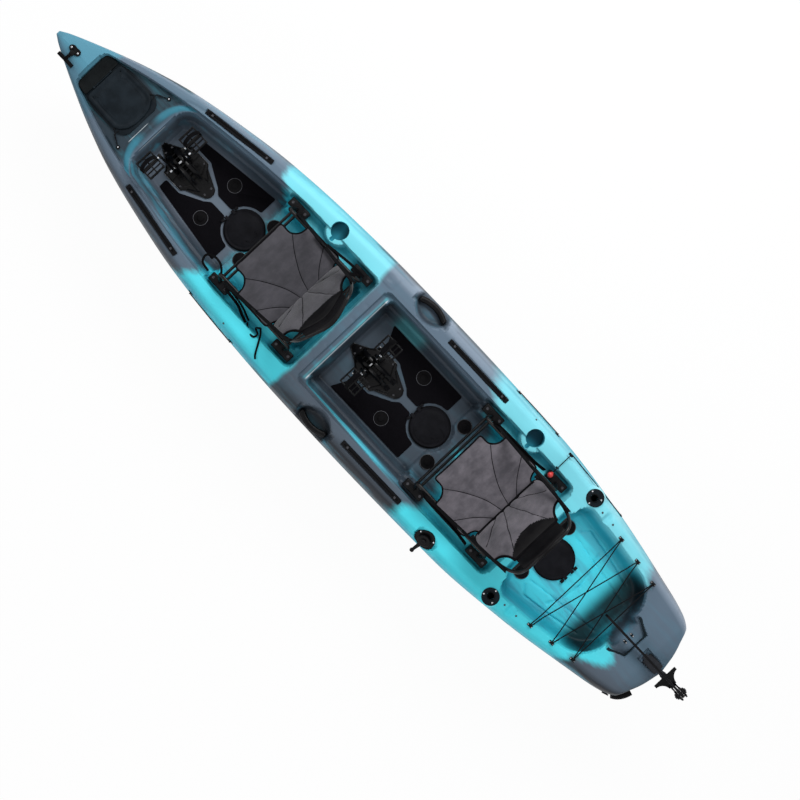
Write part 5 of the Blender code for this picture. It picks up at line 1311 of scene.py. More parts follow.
RUBBER = plastic("black_rubber", tone(6, 5, 7), 0.60, 0.5, 300.0, Specular_IOR_Level=0.06)
flange = ((0.0030, 0.0014), (0.0026, -0.0018), (0.016, 0), (0.001, 0.003), (0.006, 0.0006))
plug = disc((0, 0, 0), (0, 0, 1), 0.0392, 0.0036, flange, 48, 0.0006)
stem = disc((0, 0, 0.0004), (0, 0, -1), 0.0172, 0.030, ((0.002, 0.004),), 32, 0.0008)
# a pale ring round the top of each plug's flange
PALE_RING = plastic("worn_rubber", tone(96, 96, 100), 0.6, 0.5, 300.0, Specular_IOR_Level=0.12)
rim = np.array([(0.0372 * math.cos(a), 0.0372 * math.sin(a), 0.0040) for a in np.arange(64) * math.pi / 32])
rim = sweep("rim", rim, 0.0013, sides=8, closed=True)
for piece in (plug, stem):
    cover(piece, RUBBER)
plug = join("scupper_plug", [plug, stem, cover(rim, PALE_RING)])
plugs = []
for back, y_, floor in SCUPPERS:
    for side in (1, -1):
        plugs.append(copy_of(plug, (at(back), side * y_, floor + 0.0004), 0.4 * side))
bpy.data.objects.remove(plug)
placed(join("scupper_plugs", plugs), "hull", None)


# Gear tracks. Black extruded rails with a T-shaped slot for clamped fittings, closed at both ends
# and screwed down flush in the gunwales.

TRACK = plastic("black_anodised", tone(6, 6, 9), 0.34, 0.12, 600.0, Specular_IOR_Level=0.08)
profile = (
    (-0.0125, 0.2914), (-0.0125, 0.3008), (-0.0116, 0.3019), (-0.0052, 0.3019), (-0.0042, 0.3012),
    (-0.0042, 0.2986), (-0.0078, 0.2986), (-0.0078, 0.2944), (0.0078, 0.2944), (0.0078, 0.2986),
    (0.0042, 0.2986), (0.0042, 0.3012), (0.0052, 0.3019), (0.0116, 0.3019), (0.0125, 0.3008),
    (0.0125, 0.2914),
)
for direction, back, y_, turn in TRACKS:
    for label, side in SIDES:
        rings = [[(along, u, v) for u, v in profile] for along in (-0.2030, -0.1, 0, 0.1, 0.2030)]
        rail = [loft("rail", rings, smooth=20)]
        for end in (-1, 1):
            x_ = end * 0.1945
            rail.append(block((x_ - 0.0085, -0.0126, 0.2914), (x_ + 0.0085, 0.0126, 0.3020), 0.0018, 3))
            spot = (end * 0.166, 0, 0.2990)
            rail.append(disc(spot, (0, 0, 1), 0.0062, 0.0029, ((0.0015, 0), (0.0012, -0.0012)), 24, 0.0004))
        for piece in rail:
            cover(piece, TRACK)
        cover(rail[2], DARK_STEEL)
        cover(rail[4], DARK_STEEL)
        track = join(direction + "_" + label + "_track", rail)
        place = Matrix.Translation((at(back), side * y_, 0))
        track.data.transform(place @ Matrix.Rotation(math.pi - side * turn, 4, "Z"))
        placed(track, "hull", direction + "_" + label + "_gear_track")


# Round hatches. A threaded ring screwed into the hull, and a lid that swings on two knuckles and has a
# crescent hollow for a fingertip.

LID = plastic("lid_moulding", tone(12, 12, 17), 0.48, 0.55, 260.0, 0.25, Specular_IOR_Level=0.07)
CLEAR_RING = plastic("ring_moulding", tone(10, 10, 14), 0.5, 0.4, 300.0, Specular_IOR_Level=0.07)
for node, back, level, way, body in (
    ("front_cockpit", HATCHES[0], 0.0553, 1, "front_hatch_lid"),
    ("rear_cockpit", HATCHES[1], 0.0553, 1, "rear_hatch_lid"),
    ("tankwell", HATCHES[2], 0.1703, -1, "tankwell_lid"),
):
    centre = (at(back), 0, level)
    ring = disc(centre, (0, 0, 1), 0.1075, 0.0052, ((0.004, 0.0004), (0.0006, -0.0008)), 72, 0.0006)
    hinge = []
    for side in (1, -1):
        low = (at(back) + way * 0.1005, side * 0.045 - 0.010, level)
        high = (at(back) + way * 0.1145, side * 0.045 + 0.010, level + 0.0158)
        hinge.append(block(low, high, 0.002, 3))
    placed(join(node + "_ring", [ring] + hinge), "hull", node + "_hatch_ring", CLEAR_RING)
    lid = disc(
        (at(back), 0, level + 0.0060), (0, 0, 1), 0.1006, 0.0066,
        ((0.0022, 0.0014), (0.004, 0), (0.0008, -0.0018), (0.010, 0), (0.0006, 0.0009), (0.030, 0.0003)),
        96, 0.0006,
    )
    scoop = cylinder((at(back) - way * 0.052, 0, level + 0.0190), 0.034, 0.02)
    keep = cylinder((at(back) - way * 0.038, 0, level + 0.0180), 0.030, 0.03)
    cut_away(scoop, [keep])
    cut_away(lid, [scoop])
    smooth_by_angle(lid, 30)
    arms = []
    for side in (1, -1):
        low = (at(back) + way * 0.088, side * 0.022 - 0.009, level + 0.0075)
        high = (at(back) + way * 0.1150, side * 0.022 + 0.009, level + 0.0160)
        arms.append(block(low, high, 0.003, 3))
    placed(join(node + "_lid", [lid] + arms), body, node + "_hatch_lid", LID)


# Bow hatch. A rim moulding with a hinge band at the front, and a long domed lid with a pressed panel,
# held down by an elastic cord from a button at each side to the lid's rear corners.

def softened(outline, passes):
    """A closed outline read at even places, with its corners rounded off."""
    outline = np.array(outline, float)
    ends = np.concatenate((outline, outline[:1]))
    run = np.concatenate(([0], np.cumsum(np.linalg.norm(np.diff(ends, axis=0), axis=1))))
    places = np.linspace(0, run[-1], int(run[-1] / 0.004), endpoint=False)
    made = np.stack([np.interp(places, run, ends[:, axis]) for axis in (0, 1)], 1)
    for _ in range(passes):
        made = (np.roll(made, 1, 0) + made + np.roll(made, -1, 0)) / 3
    return made


def drawn_in(outline, inset):
    """A smooth closed outline moved inwards."""
    along = np.roll(outline, -1, 0) - np.roll(outline, 1, 0)
    out_ = np.stack((along[:, 1], -along[:, 0]), 1) / np.linalg.norm(along, axis=1, keepdims=True)
    area = np.sum(outline[:, 0] * np.roll(outline[:, 1], -1) - np.roll(outline[:, 0], -1) * outline[:, 1])
    return outline - out_ * inset * (1 if area > 0 else -1)


def plate_of(name, outline, profile):
    """A piece over a smooth outline, from (inset, height) pairs that end near its middle."""
    rings = []
    for inset, level_ in profile:
        if inset < 0.05:
            ring = drawn_in(outline, inset)
        else:
            ring = outline.mean(0) + (outline - outline.mean(0)) * (1 - inset)
        rings.append(np.concatenate((ring, np.full((len(ring), 1), level_)), axis=1))
    return loft(name, rings, smooth=35)


rim = refined("bow_rim", "bow_hatch_rim", 0.004, 0.0012)
HATCH_BLACK = plastic("hatch_moulding", tone(16, 24, 30), 0.50, 0.5, 260.0, 0.3, Specular_IOR_Level=0.08)
placed(rim, "hull", "bow_hatch_rim", HATCH_BLACK)
half = ((0.242, 0.094), (0.256, 0.104), (0.312, 0.113))
front_band = softened([(at(b), y_) for b, y_ in mirrored(half)], 8)
band = plate_of("front_band", front_band, (
    (0, 0.2860), (0, 0.2925), (0.0015, 0.2938), (0.006, 0.2940), (0.010, 0.2920), (0.4, 0.2925),
    (0.98, 0.2925),
))
BAND_BLACK = plastic("hatch_band", tone(5, 9, 11), 0.5, 0.5, 260.0, 0.3, Specular_IOR_Level=0.07)
placed(band, "hull", None, BAND_BLACK)
half = (
    (0.3215, 0.060), (0.3225, 0.104), (0.332, 0.1135), (0.40, 0.1165), (0.47, 0.1185), (0.520, 0.1190),
    (0.548, 0.104), (0.572, 0.070), (0.5820, 0.030),
)
edge_ = softened([(at(b), y_) for b, y_ in mirrored(half)], 6)
lid = plate_of("bow_lid_panel", edge_, (
    (0.002, 0.2826), (0, 0.2838), (0, 0.2900), (0.0012, 0.2922), (0.0040, 0.2932), (0.0120, 0.2934),
    (0.0150, 0.2926), (0.0180, 0.2912), (0.0260, 0.2912), (0.0300, 0.2926), (0.40, 0.2938),
    (0.62, 0.2943), (0.82, 0.2945), (0.985, 0.2945),
))
ribs, bend = [lid], ((0.372, 0.030), (0.375, 0.078), (0.46, 0.086), (0.512, 0.080))
for side in (1, -1):
    route = [(at(b), side * w, 0.2930) for b, w in bend]
    ribs.append(sweep("rib", curve(route, 0.008), 0.0040, 0.0012, 8))
placed(join("bow_lid_panel", ribs), "bow_lid", "bow_hatch_lid", HATCH_BLACK)


def button(spot, out_, radius, height, finish_=DARK_STEEL):
    steps = ((radius * 0.3, height * 0.2), (0.0006, -0.0008))
    return cover(disc(spot, out_, radius, height, steps, 24, 0.0010), finish_)


def taut_line(name, points, diameter, body="hull"):
    """A line or elastic cord held tight through its points."""
    route = curve(points, 0.012)
    piece = cover(sweep(name, route, diameter / 2, sides=10), LINE)
    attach(piece, body)
    return piece


LINE = Finish("braided_line", Roughness=0.78, Specular_IOR_Level=0.12)
where, x, y, z = LINE.place()
braid = ((x + y + z) * 2100).does("SINE") * ((x - y + z) * 2100).does("SINE")
LINE.set("Base Color", LINE.mix(braid.rises(-0.2, 0.9), tone(8, 8, 10), tone(24, 24, 28)))
LINE.bump(braid, 0.0004, 0.6)
buttons = []
for side in (1, -1):
    spot = (at(0.602), side * 0.170, 0.2722)
    buttons.append(button(spot, (0, 0, 1), 0.0095, 0.007, MOULDED))
    buttons.append(button((spot[0], spot[1], 0.2798), (0, 0, 1), 0.0036, 0.0014, STEEL))
    for drift, name in ((0.0, "hold_down"), (0.007, "hold_down_return")):
        near = (at(0.594) + drift, side * (0.168 - drift), 0.2775)
        over = (at(0.560) + 2 * drift, side * (0.145 - 0.6 * drift), 0.2840)
        far = (at(0.523 + 4 * drift), side * (0.1195 - drift), 0.2900)
        taut_line(name, [near, over, far], 0.0042)
placed(join("bow_buttons", buttons), "hull", None)


# Carry handles. At the bow a rubber grip hangs from a webbing loop on a two-lobed deck plate; at each side
# a wide curved moulded grip bridges a finger recess.

def lobed(name, centre, out_, radius, lobes, swell, turn, profile, count=64):
    """A plate with a few soft lobes, from (inset, height) pairs that end near its middle."""
    out_ = Vector(out_).normalized()
    side_ = (Vector((1, 0, 0)) - out_ * out_.x).normalized()
    other = out_.cross(side_)
    rings = []
    for inset, lift in profile:
        ring = []
        for angle in np.arange(count) * 2 * math.pi / count:
            reach_ = radius * (1 + swell * math.cos(lobes * (angle - turn)))
            reach_ = reach_ - inset if inset < 0.02 else reach_ * (1 - inset)
            way = side_ * math.cos(angle) + other * math.sin(angle)
            ring.append(Vector(centre) + way * reach_ + out_ * lift)
        rings.append(ring)
    return loft(name, rings, smooth=30)


bow, deck_z = at(0.131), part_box("bow_handle_plate")[0][2]
plate = lobed("bow_plate", (bow, 0, deck_z), (0, 0, 1), 0.0245, 2, 0.36, 0.0, (
    (0, 0.0), (0, 0.0062), (0.0010, 0.0074), (0.003, 0.0078), (0.006, 0.0070), (0.5, 0.0066), (0.97, 0.0066)))
tab = block((bow - 0.0125, 0.006, deck_z + 0.0005), (bow + 0.0125, 0.0290, deck_z + 0.0110), 0.003, 3)
bits = [cover(plate, MOULDED), cover(tab, MOULDED)]
boss, screw = ((0.003, 0.0002), (0.001, -0.002)), ((0.0012, 0.0003), (0.0005, -0.0008))
for x_ in (bow - 0.0215, bow + 0.0215):
    bits.append(cover(disc((x_, 0, deck_z + 0.0064), (0, 0, 1), 0.0125, 0.0040, boss, 32, 0.0010), MOULDED))
    bits.append(cover(disc((x_, 0, deck_z + 0.0078), (0, 0, 1), 0.0046, 0.0022, screw, 24, 0.0004), STEEL))
placed(join("bow_plate", bits), "hull", "bow_handle_plate")
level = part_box("bow_handle_grip")[0][2] + 0.0100
bar = [(bow + u, 0.064, level) for u in np.linspace(-0.0465, 0.0465, 25)]
grip = [cover(sweep("bar", bar, 0.0098, sides=18), RUBBER)]
for u in (-0.030, -0.020, 0.020, 0.030):
    ridge = [(bow + u - 0.0016, 0.064, level), (bow + u + 0.0016, 0.064, level)]
    grip.append(cover(sweep("ridge", ridge, 0.0100, sides=18), RUBBER))
loop_ = [
    (bow, 0.0215, deck_z + 0.0085), (bow, 0.040, level + 0.0060), (bow, 0.056, level + 0.0098),
    (bow, 0.0700, level + 0.0070),
]
grip.append(cover(sweep("grip_strap", curve(loop_, 0.004), 0.0085, 0.0012), WEBBING))
placed(join("bow_grip_assembly", grip), "bow_grip", "bow_handle_grip")
middle = at(SIDE_HANDLES)
for label, side in SIDES:
    path = [(middle + t * 0.080, side * (0.402 + 0.020 * (1 - t * t)), 0.2255) for t in np.linspace(-1, 1, 9)]
    grip = [sweep("grip", curve(path, 0.006), 0.0160, 0.0088, 16)]
    low, high = sorted((side * 0.390, side * 0.4145))
    for x_ in (middle - 0.076, middle + 0.076):
        grip.append(block((x_ - 0.013, low, 0.2054), (x_ + 0.013, high, 0.2320), 0.005, 3))
        grip.append(button((x_, side * 0.4025, 0.2316), (0, 0, 1), 0.0055, 0.0016))
    for piece in grip:
        if not piece.data.materials:
            cover(piece, MOULDED)
    placed(join(label + "_grip", grip), "hull", label + "_carry_handle")


# Pedal drives. A glass-filled nylon body dropped into each well, with a ribbed spine over the chain, a
# sprocket housing at the axle and a steel crank axle pressed through it.

NYLON = plastic(
    "glass_filled_nylon", tone(4, 4, 6), 0.24, 0.25, 300.0, 0.2,
    Specular_IOR_Level=0.07, Coat_Weight=0.12, Coat_Roughness=0.08,
)
REFLECTOR = plastic("pedal_reflector", tone(54, 56, 60), 0.16)
AXLE_BACK = 0.135
AXLE_Z = 0.118
CRANK = 0.312


def about(x_, z_, angle):
    """A turn about a crosswise axle through a place."""
    there = Matrix.Translation((x_, 0, z_))
    return there @ Matrix.Rotation(angle, 4, "Y") @ there.inverted()


def rod_between(a, b, radius, vertices=24, bevel=0.0006):
    a, b = Vector(a), Vector(b)
    return disc(a, b - a, radius, (b - a).length, (), vertices, bevel)


def make_drive(direction, start, splay):
    inset = (
        (0.0, 0.0100), (0.098, 0.066), (0.106, 0.094), (0.112, 0.096), (0.222, 0.096), (0.228, 0.093),
        (0.240, 0.078), (0.343, 0.030), (0.355, 0.0100),
    )
    outline = [(start + b, w) for b, w in mirrored(inset)]
    plate = upright(outline, 0.0095, FLOOR_Z + 0.0062)
    body = [soften(plate, 0.0022, 2, 25)]
    # a rolled rim all round, and ribs across the plate
    loop = np.array([(at(b), w * 0.985, FLOOR_Z + 0.0058) for b, w in outline])
    dense = np.concatenate([np.linspace(p, q, 8)[:-1] for p, q in zip(loop, np.roll(loop, -1, 0))])
    body.append(sweep("rim", dense, 0.0030, 0.0026, 8, True))
    for side in (1, -1):
        for ends in (
            ((0.06, 0.036), (0.112, 0.088)), ((0.245, 0.036), (0.214, 0.090)),
            ((0.165, 0.040), (0.165, 0.090)), ((0.300, 0.030), (0.245, 0.068)),
        ):
            first, last = ((at(start + b), side * w, FLOOR_Z + 0.007) for b, w in ends)
            body.append(sweep("rib", np.linspace(first, last, 3), 0.0030, 0.0040, 8))
        for b, w in ((0.118, 0.083), (0.212, 0.083), (0.040, 0.020), (0.326, 0.022)):
            spot = (at(start + b), side * w, FLOOR_Z + 0.0062)
            screw = disc(spot, (0, 0, 1), 0.0055, 0.003, ((0.0018, 0), (0.0005, -0.0012)), 20, 0.0004)
            body.append(cover(screw, DARK_STEEL))
    # the spine in two cheeks, with the sprocket housing round the axle
    line_ = (
        (0.053, 0.056), (0.058, 0.080), (0.072, 0.112), (0.100, 0.136), (0.135, 0.1425), (0.170, 0.1395),
        (0.215, 0.113), (0.262, 0.078), (0.300, 0.056),
    )
    arc = curve([(b, 0, h) for b, h in line_], 0.006)
    foot = FLOOR_Z + 0.004
    cheek = (
        (0.0085, 0), (0.0085, 0.93), (0.0105, 1), (0.0240, 0.985), (0.0325, 0.90), (0.0345, 0.55),
        (0.0370, 0),
    )
    for side in (1, -1):
        rings = []
        for b, _, h in arc:
            rings.append([(at(start + b), side * w, foot + (h - foot) * v) for w, v in cheek])
        body.append(loft("cheek", rings, smooth=50))
        hub = (at(start + AXLE_BACK), side * 0.0330, AXLE_Z)
        dished = ((0.004, 0.0012), (0.004, -0.002), (0.004, 0.001))
        body.append(disc(hub, (0, side, 0), 0.0235, 0.0042, dished, 40, 0.0006))
    for b in (0.085, 0.110, 0.160, 0.185, 0.210, 0.235):
        x_, h = at(start + b), float(np.interp(b, arc[:, 0], arc[:, 2])) - 0.004
        body.append(block((x_ - 0.002, -0.0095, FLOOR_Z), (x_ + 0.002, 0.0095, h), 0.0006, 1))
    for piece in body:
        if not piece.data.materials:
            cover(piece, NYLON)
    axle = (at(start + AXLE_BACK), AXLE_Z)
    shaft = rod_between((axle[0], -0.070, axle[1]), (axle[0], 0.070, axle[1]), 0.0078)
    body.append(cover(shaft, STEEL))
    fins = cover(refined("under", direction + "_drive_body", 0.0, 0.0), NYLON)
    shape = bmesh.new()
    shape.from_mesh(fins.data)
    bmesh.ops.bisect_plane(
        shape, geom=shape.verts[:] + shape.edges[:] + shape.faces[:], plane_co=(0, 0, 0.0105),
        plane_no=(0, 0, 1), clear_outer=True,
    )
    bmesh.ops.holes_fill(shape, edges=[e for e in shape.edges if e.is_boundary])
    bmesh.ops.recalc_face_normals(shape, faces=shape.faces)
    shape.to_mesh(fins.data)
    shape.free()
    body.append(fins)
    placed(join(direction + "_drive", body), "hull", direction + "_drive_body")
    for label, side in SIDES:
        angle = side * splay
        turn = about(*axle, angle)
        make_arm(direction, label, side, axle, turn)
        make_pedal(direction, label, side, axle, angle, turn)
    for which in ("fore", "aft"):
        node = direction + "_" + which + "_fin"
        blade = refined(direction + "_" + which + "_blade", node, 0.0, 0.0016)
        placed(blade, node, node, RUBBER)


def make_arm(direction, label, side, axle, turn):
    """A forged crank arm with a round boss, a hollowed web and a steel spindle for the pedal."""
    profile = (
        (-1, 0.0452), (-0.72, 0.0440), (0.72, 0.0440), (1, 0.0452), (1, 0.0548), (0.72, 0.0560),
        (0.45, 0.0560), (0.40, 0.0545), (-0.40, 0.0545), (-0.45, 0.0560), (-0.72, 0.0560), (-1, 0.0548),
    )
    rings = []
    for h, wide in (
        (0.010, 0.0175), (0.05, 0.0150), (0.10, 0.0138), (0.20, 0.0118), (0.29, 0.0105), (0.315, 0.0105),
    ):
        rings.append([(axle[0] + u * wide, side * v, axle[1] + h) for u, v in profile])
    arm = [loft("web", rings, smooth=35)]
    boss = ((0.003, 0.0), (0.001, -0.0015), (0.007, 0.0), (0.0005, 0.002))
    arm.append(disc((axle[0], side * 0.0432, axle[1]), (0, side, 0), 0.0218, 0.0138, boss, 40, 0.0008))
    top = axle[1] + CRANK
    tip = (axle[0], side * 0.0432, top)
    arm.append(disc(tip, (0, side, 0), 0.0148, 0.0136, ((0.003, 0.0008),), 32, 0.0008))
    for piece in arm:
        cover(piece, NYLON)
    spindle = rod_between((axle[0], side * 0.045, top), (axle[0], side * 0.1615, top), 0.0058, 20)
    arm.append(cover(spindle, STEEL))
    arm = join(direction + "_" + label + "_arm", arm)
    arm.data.transform(turn)
    body = direction + "_" + label + "_crank"
    placed(arm, body, body)


def make_pedal(direction, label, side, axle, angle, turn):
    """A platform pedal: a cage of thin walls with toothed edges, round a bored barrel, and a toe strap."""
    cx, cz = axle[0], axle[1] + CRANK
    cage = []
    for end in (-1, 1):
        x0 = cx + end * 0.0475
        low, high = sorted((side * 0.066, side * 0.160))
        cage.append(block((x0 - 0.0045, low, cz - 0.0078), (x0 + 0.0045, high, cz + 0.0088), 0.002, 2))
        for k in range(7):
            y_ = low + 0.011 + k * 0.012
            low_, high_ = (x0 - 0.0042, y_ - 0.0022, cz + 0.0070), (x0 + 0.0042, y_ + 0.0022, cz + 0.0103)
            cage.append(block(low_, high_, 0.0008, 1))
    for y_ in (0.0695, 0.1130, 0.1565):
        low, high = sorted((side * (y_ - 0.0034), side * (y_ + 0.0034)))
        cage.append(block((cx - 0.045, low, cz - 0.0070), (cx + 0.045, high, cz + 0.0088), 0.0015, 2))
    low, high = sorted((side * 0.068, side * 0.158))
    for x0 in (cx - 0.024, cx + 0.024):
        cage.append(block((x0 - 0.0025, low, cz - 0.0066), (x0 + 0.0025, high, cz + 0.0080), 0.001, 1))
    cage.append(rod_between((cx, side * 0.0665, cz), (cx, side * 0.1595, cz), 0.0098, 28))
    for piece in cage:
        cover(piece, NYLON)
    low, high = sorted((side * 0.093, side * 0.133))
    for x0 in (cx - 0.0512, cx + 0.0512):
        plate = block((x0 - 0.0008, low, cz - 0.0045), (x0 + 0.0008, high, cz + 0.0045), 0.0006, 1)
        cage.append(cover(plate, REFLECTOR))
    loop = [(cx + u, side * y_, cz + h) for u, y_, h in (
        (-0.004, 0.158, 0.0085), (0.004, 0.163, 0.0260), (0.012, 0.145, 0.0440), (0.016, 0.113, 0.0500),
        (0.012, 0.082, 0.0440), (0.004, 0.066, 0.0240), (-0.004, 0.068, 0.0085),
    )]
    cage.append(cover(sweep("toe_strap", curve(loop, 0.005), 0.0010, 0.0095, up=(1, 0, 0)), WEBBING))
    pedal = join(direction + "_" + label + "_platform", cage)
    pedal.data.transform(turn @ about(cx, cz, -angle))
    body = direction + "_" + label + "_pedal"
    placed(pedal, body, body)


make_drive("front", DRIVES[0], math.radians(5))
make_drive("rear", DRIVES[1], 0.0)


# Rod holders. A moulded tube sunk through the deck at a slant, with an egg-shaped flange on a raised
# pad and three screws.

slant = math.radians(28)
for label, side in SIDES:
    top = Vector((at(ROD_HOLDERS[0]), side * ROD_HOLDERS[1], 0.2998))
    down = Vector((-math.sin(slant), 0, -math.cos(slant)))
    flange = lobed("flange", top, (0, 0, 1), 0.0445, 1, 0.10, side * 2.35, (
        (0, 0), (0, 0.0036), (0.0012, 0.0046), (0.0060, 0.0052), (0.0070, 0.0048), (0.45, 0.0052),
        (0.97, 0.0052)))
    shaft = rod_between(top - down * 0.004, top + down * 0.165, 0.0212, 36)
    over = block(top + Vector((-0.1, -0.1, 0.0056)), top + Vector((0.1, 0.1, 0.2)), 0)
    cut_away(shaft, [over])
    holder = [flange, shaft]
    for piece in holder:
        bore = rod_between(top - down * 0.05, top + down * 0.160, 0.0180, 36, 0)
        cut_away(piece, [bore])
        smooth_by_angle(piece, 30)
        cover(piece, HATCH_BLACK)
    turns = np.arange(40) * math.pi / 20
    lip = [top + Vector((0.0205 * math.cos(a), 0.0190 * math.sin(a), 0.0056)) for a in turns]
    holder.append(cover(sweep("lip", lip, 0.0022, sides=8, closed=True), MOULDED))
    for angle in (0.5, 2.6, 4.7):
        spot = top + Vector((0.0345 * math.cos(side * angle), 0.0345 * math.sin(side * angle), 0.0046))
        screw = disc(spot, (0, 0, 1), 0.0040, 0.0012, ((0.0012, 0), (0.0004, -0.0006)), 16, 0.0003)
        holder.append(cover(screw, STEEL))
    placed(join(label + "_rod_tube", holder), "hull", label + "_rod_holder")


# Rudder steering dial. A three-cornered base screwed into the port gunwale and a knob with a lever, which
# pulls the steering lines one way or the other.

out = Vector((0, math.sin(DIAL_TILT), math.cos(DIAL_TILT)))
reach = Vector((0, out.z, -out.y))
dial = Vector((at(DIAL[0]), *DIAL[1:]))
base = lobed("base", dial + out * 0.0004, out, 0.0545, 3, 0.055, 0.4, (
    (0, 0), (0, 0.0060), (0.0014, 0.0074), (0.006, 0.0080), (0.0070, 0.0068), (0.40, 0.0068), (0.97, 0.0068)))
post = rod_between(dial + out * 0.005, dial + out * 0.0262, 0.0079, 24)
cap = disc(dial + out * 0.0246, out, 0.0138, 0.0030, ((0.003, 0.0012), (0.0005, -0.0008)), 32, 0.0006)
dial_pieces = [cover(piece, MOULDED) for piece in (base, post, cap)]
for angle in (0.4, 2.5, 4.6):
    spot = dial + out * 0.0078 + Vector((math.cos(angle), 0, 0)) * 0.047 - reach * 0.047 * math.sin(angle)
    screw = disc(spot, out, 0.0042, 0.0012, ((0.0012, 0), (0.0004, -0.0006)), 16, 0.0003)
    dial_pieces.append(cover(screw, STEEL))
placed(join("steering_dial", dial_pieces), "hull", "steering_base")
knob = [disc(dial + out * 0.0106, out, 0.0325, 0.0122, ((0.003, 0.0010), (0.010, -0.0006)), 48, 0.0012)]
for k in range(12):
    angle = 2 * math.pi * k / 12
    spot = dial + Vector((math.cos(angle), 0, 0)) * 0.0325 + reach * 0.0325 * math.sin(angle)
    knob.append(rod_between(spot + out * 0.0112, spot + out * 0.0222, 0.0022, 10, 0.0004))
lever, turns = [], np.arange(16) * math.pi / 8
for along, wide, thick in (
    (0.012, 0.0125, 0.0045), (0.040, 0.0108, 0.0045), (0.070, 0.0088, 0.0042), (0.092, 0.0078, 0.0040),
):
    middle = dial + reach * along + out * 0.0170
    lever.append([middle + Vector((math.cos(a) * wide, 0, 0)) + out * math.sin(a) * thick for a in turns])
knob.append(loft("lever", lever, smooth=60))
knob.append(disc(dial + reach * 0.0985 + out * 0.0122, out, 0.0108, 0.0098, ((0.003, 0.0012),), 28, 0.0014))
placed(join("steering_lever", knob), "steering_knob", "steering_knob", MOULDED)


# Rudder lift. A red ball on a black line beside the rear seat, which runs out to an eye on the gunwale
# and aft along it to the rudder.

RED = plastic("red_ball", tone(214, 44, 40), 0.28, 0.15, 200.0, 0.06, Coat_Weight=0.3)
x_, level = at(3.196), 0.3065
route = [(x_, y_, level) for y_ in (-0.410, -0.362, -0.316, -0.274)]
taut_line("lift_line", route, 0.0048, "rudder_lift_pull")
bpy.ops.object.select_all(action="DESELECT")
bpy.ops.mesh.primitive_uv_sphere_add(segments=32, ring_count=20, radius=0.0144, location=(x_, -0.2666, level))
ball = settled(bpy.context.object)
bpy.ops.object.shade_smooth()
pull = [cover(ball, RED), cover(disc((x_, -0.2795, level), (0, -1, 0), 0.0062, 0.004, (), 20), RED)]
placed(join("lift_pull", pull), "rudder_lift_pull", "rudder_lift_pull")
guide, turns = [], np.arange(20) * math.pi / 10
for y_ in (-0.3155, -0.4065):
    low, high = (x_ - 0.0090, y_ - 0.0035, DEPTH + 0.0004), (x_ + 0.0090, y_ + 0.0035, DEPTH + 0.0030)
    guide.append(block(low, high, 0.0010, 2))
    ring_ = [(x_ + 0.0040 * math.cos(a), y_, level + 0.0040 * math.sin(a)) for a in turns]
    guide.append(sweep("eye", ring_, 0.0012, sides=8, closed=True))
low, high = (x_ - 0.0130, -0.4125, DEPTH + 0.0004), (x_ + 0.0130, -0.3990, DEPTH + 0.0090)
guide.append(block(low, high, 0.0030, 3))
placed(join("lift_guide", guide), "hull", "rudder_lift_guide", MOULDED)


# Deck lines. Small moulded eyes, each on two screws, hold an elastic keeper for a paddle on each side of
# the hull. A line lies along the starboard gunwale, from the rudder lift's guide aft to a deck button.

def pad_eye(spot, out_, size=1.0):
    spot, out_ = Vector(spot), Vector(out_).normalized()
    along_ = (Vector((1, 0, 0)) - out_ * out_.x).normalized()
    across_ = out_.cross(along_)
    foot = lobed("foot", spot, out_, 0.0105 * size, 2, 0.42, 0.0, (
        (0, 0), (0, 0.0026), (0.001, 0.0034), (0.5, 0.0036), (0.95, 0.0036)), 32)
    arch = []
    for a in np.linspace(0, math.pi, 11):
        lift = 0.002 + 0.0075 * size * math.sin(a)
        arch.append(spot + out_ * lift + across_ * 0.0055 * size * math.cos(a))
    arch = sweep("arch", curve(arch, 0.002), 0.0019, sides=8)
    pieces = [cover(foot, MOULDED), cover(arch, MOULDED)]
    for end in (-1, 1):
        screw = spot + along_ * end * 0.0098 * size + out_ * 0.0030
        pieces.append(cover(disc(screw, out_, 0.0028, 0.0010, ((0.0008, 0),), 14, 0.0002), STEEL))
    return pieces


fixings = []
for label, side, first, last, level in (
    ("starboard", -1, 2.809, 3.090, 0.228), ("port", 1, 1.352, 1.660, 0.226),
):
    ends = []
    for back in (first, last):
        spot, way = skin(back, level, side)
        fixings += pad_eye(spot, way)
        ends.append(spot + way * 0.0065)
    middle = (ends[0] + ends[1]) / 2 - Vector((0, 0, 0.012)) + Vector((0, side * 0.002, 0))
    taut_line(label + "_paddle_keeper", [ends[0], middle, ends[1]], 0.0050)
rest_ = []
for back, y_ in (
    (3.214, -0.4105), (3.300, -0.4040), (3.400, -0.3960), (3.500, -0.3900), (3.585, -0.3840),
):
    spot, way = skin(back, y_)
    rest_.append(spot + way * 0.0030)
taut_line("gunwale_line", rest_, 0.0046)
spot, way = skin(3.592, -0.3835)
fixings.append(button(spot, way, 0.0085, 0.0050, MOULDED))
for back, y_ in (
    (1.577, 0.383), (2.959, -0.402), (3.505, 0.326), (3.505, -0.326), (3.582, 0.322), (3.582, -0.322),
):
    spot, way = skin(back, y_)
    fixings.append(button(spot, way, 0.0050, 0.0020))
for side in (1, -1):
    fixings += pad_eye(skin(4.038, side * 0.023)[0], (0, 0, 1), 0.8)
placed(join("deck_fixings", fixings), "hull", None)


# Painted shadow at the stern tray. A thin dark strip laid round the tray that the lifted blade rests over,
# open towards the tank well, stands for the shade in a groove there.

TRAY_SHADOW = plastic("edging_rubber", tone(10, 26, 33), 0.55, 0.5, 300.0, Specular_IOR_Level=0.12)
shadow_line = [(3.998, 0.1085), (4.012, 0.106), (4.060, 0.0835), (4.076, 0.076), (4.084, 0.062), (4.085, 0.040)]
run = [(at(b), y_, 0.2975) for b, y_ in mirrored(shadow_line)]
placed(sweep("tray_bead", curve(run, 0.006), 0.0082, 0.0034, 10), "hull", None, TRAY_SHADOW)


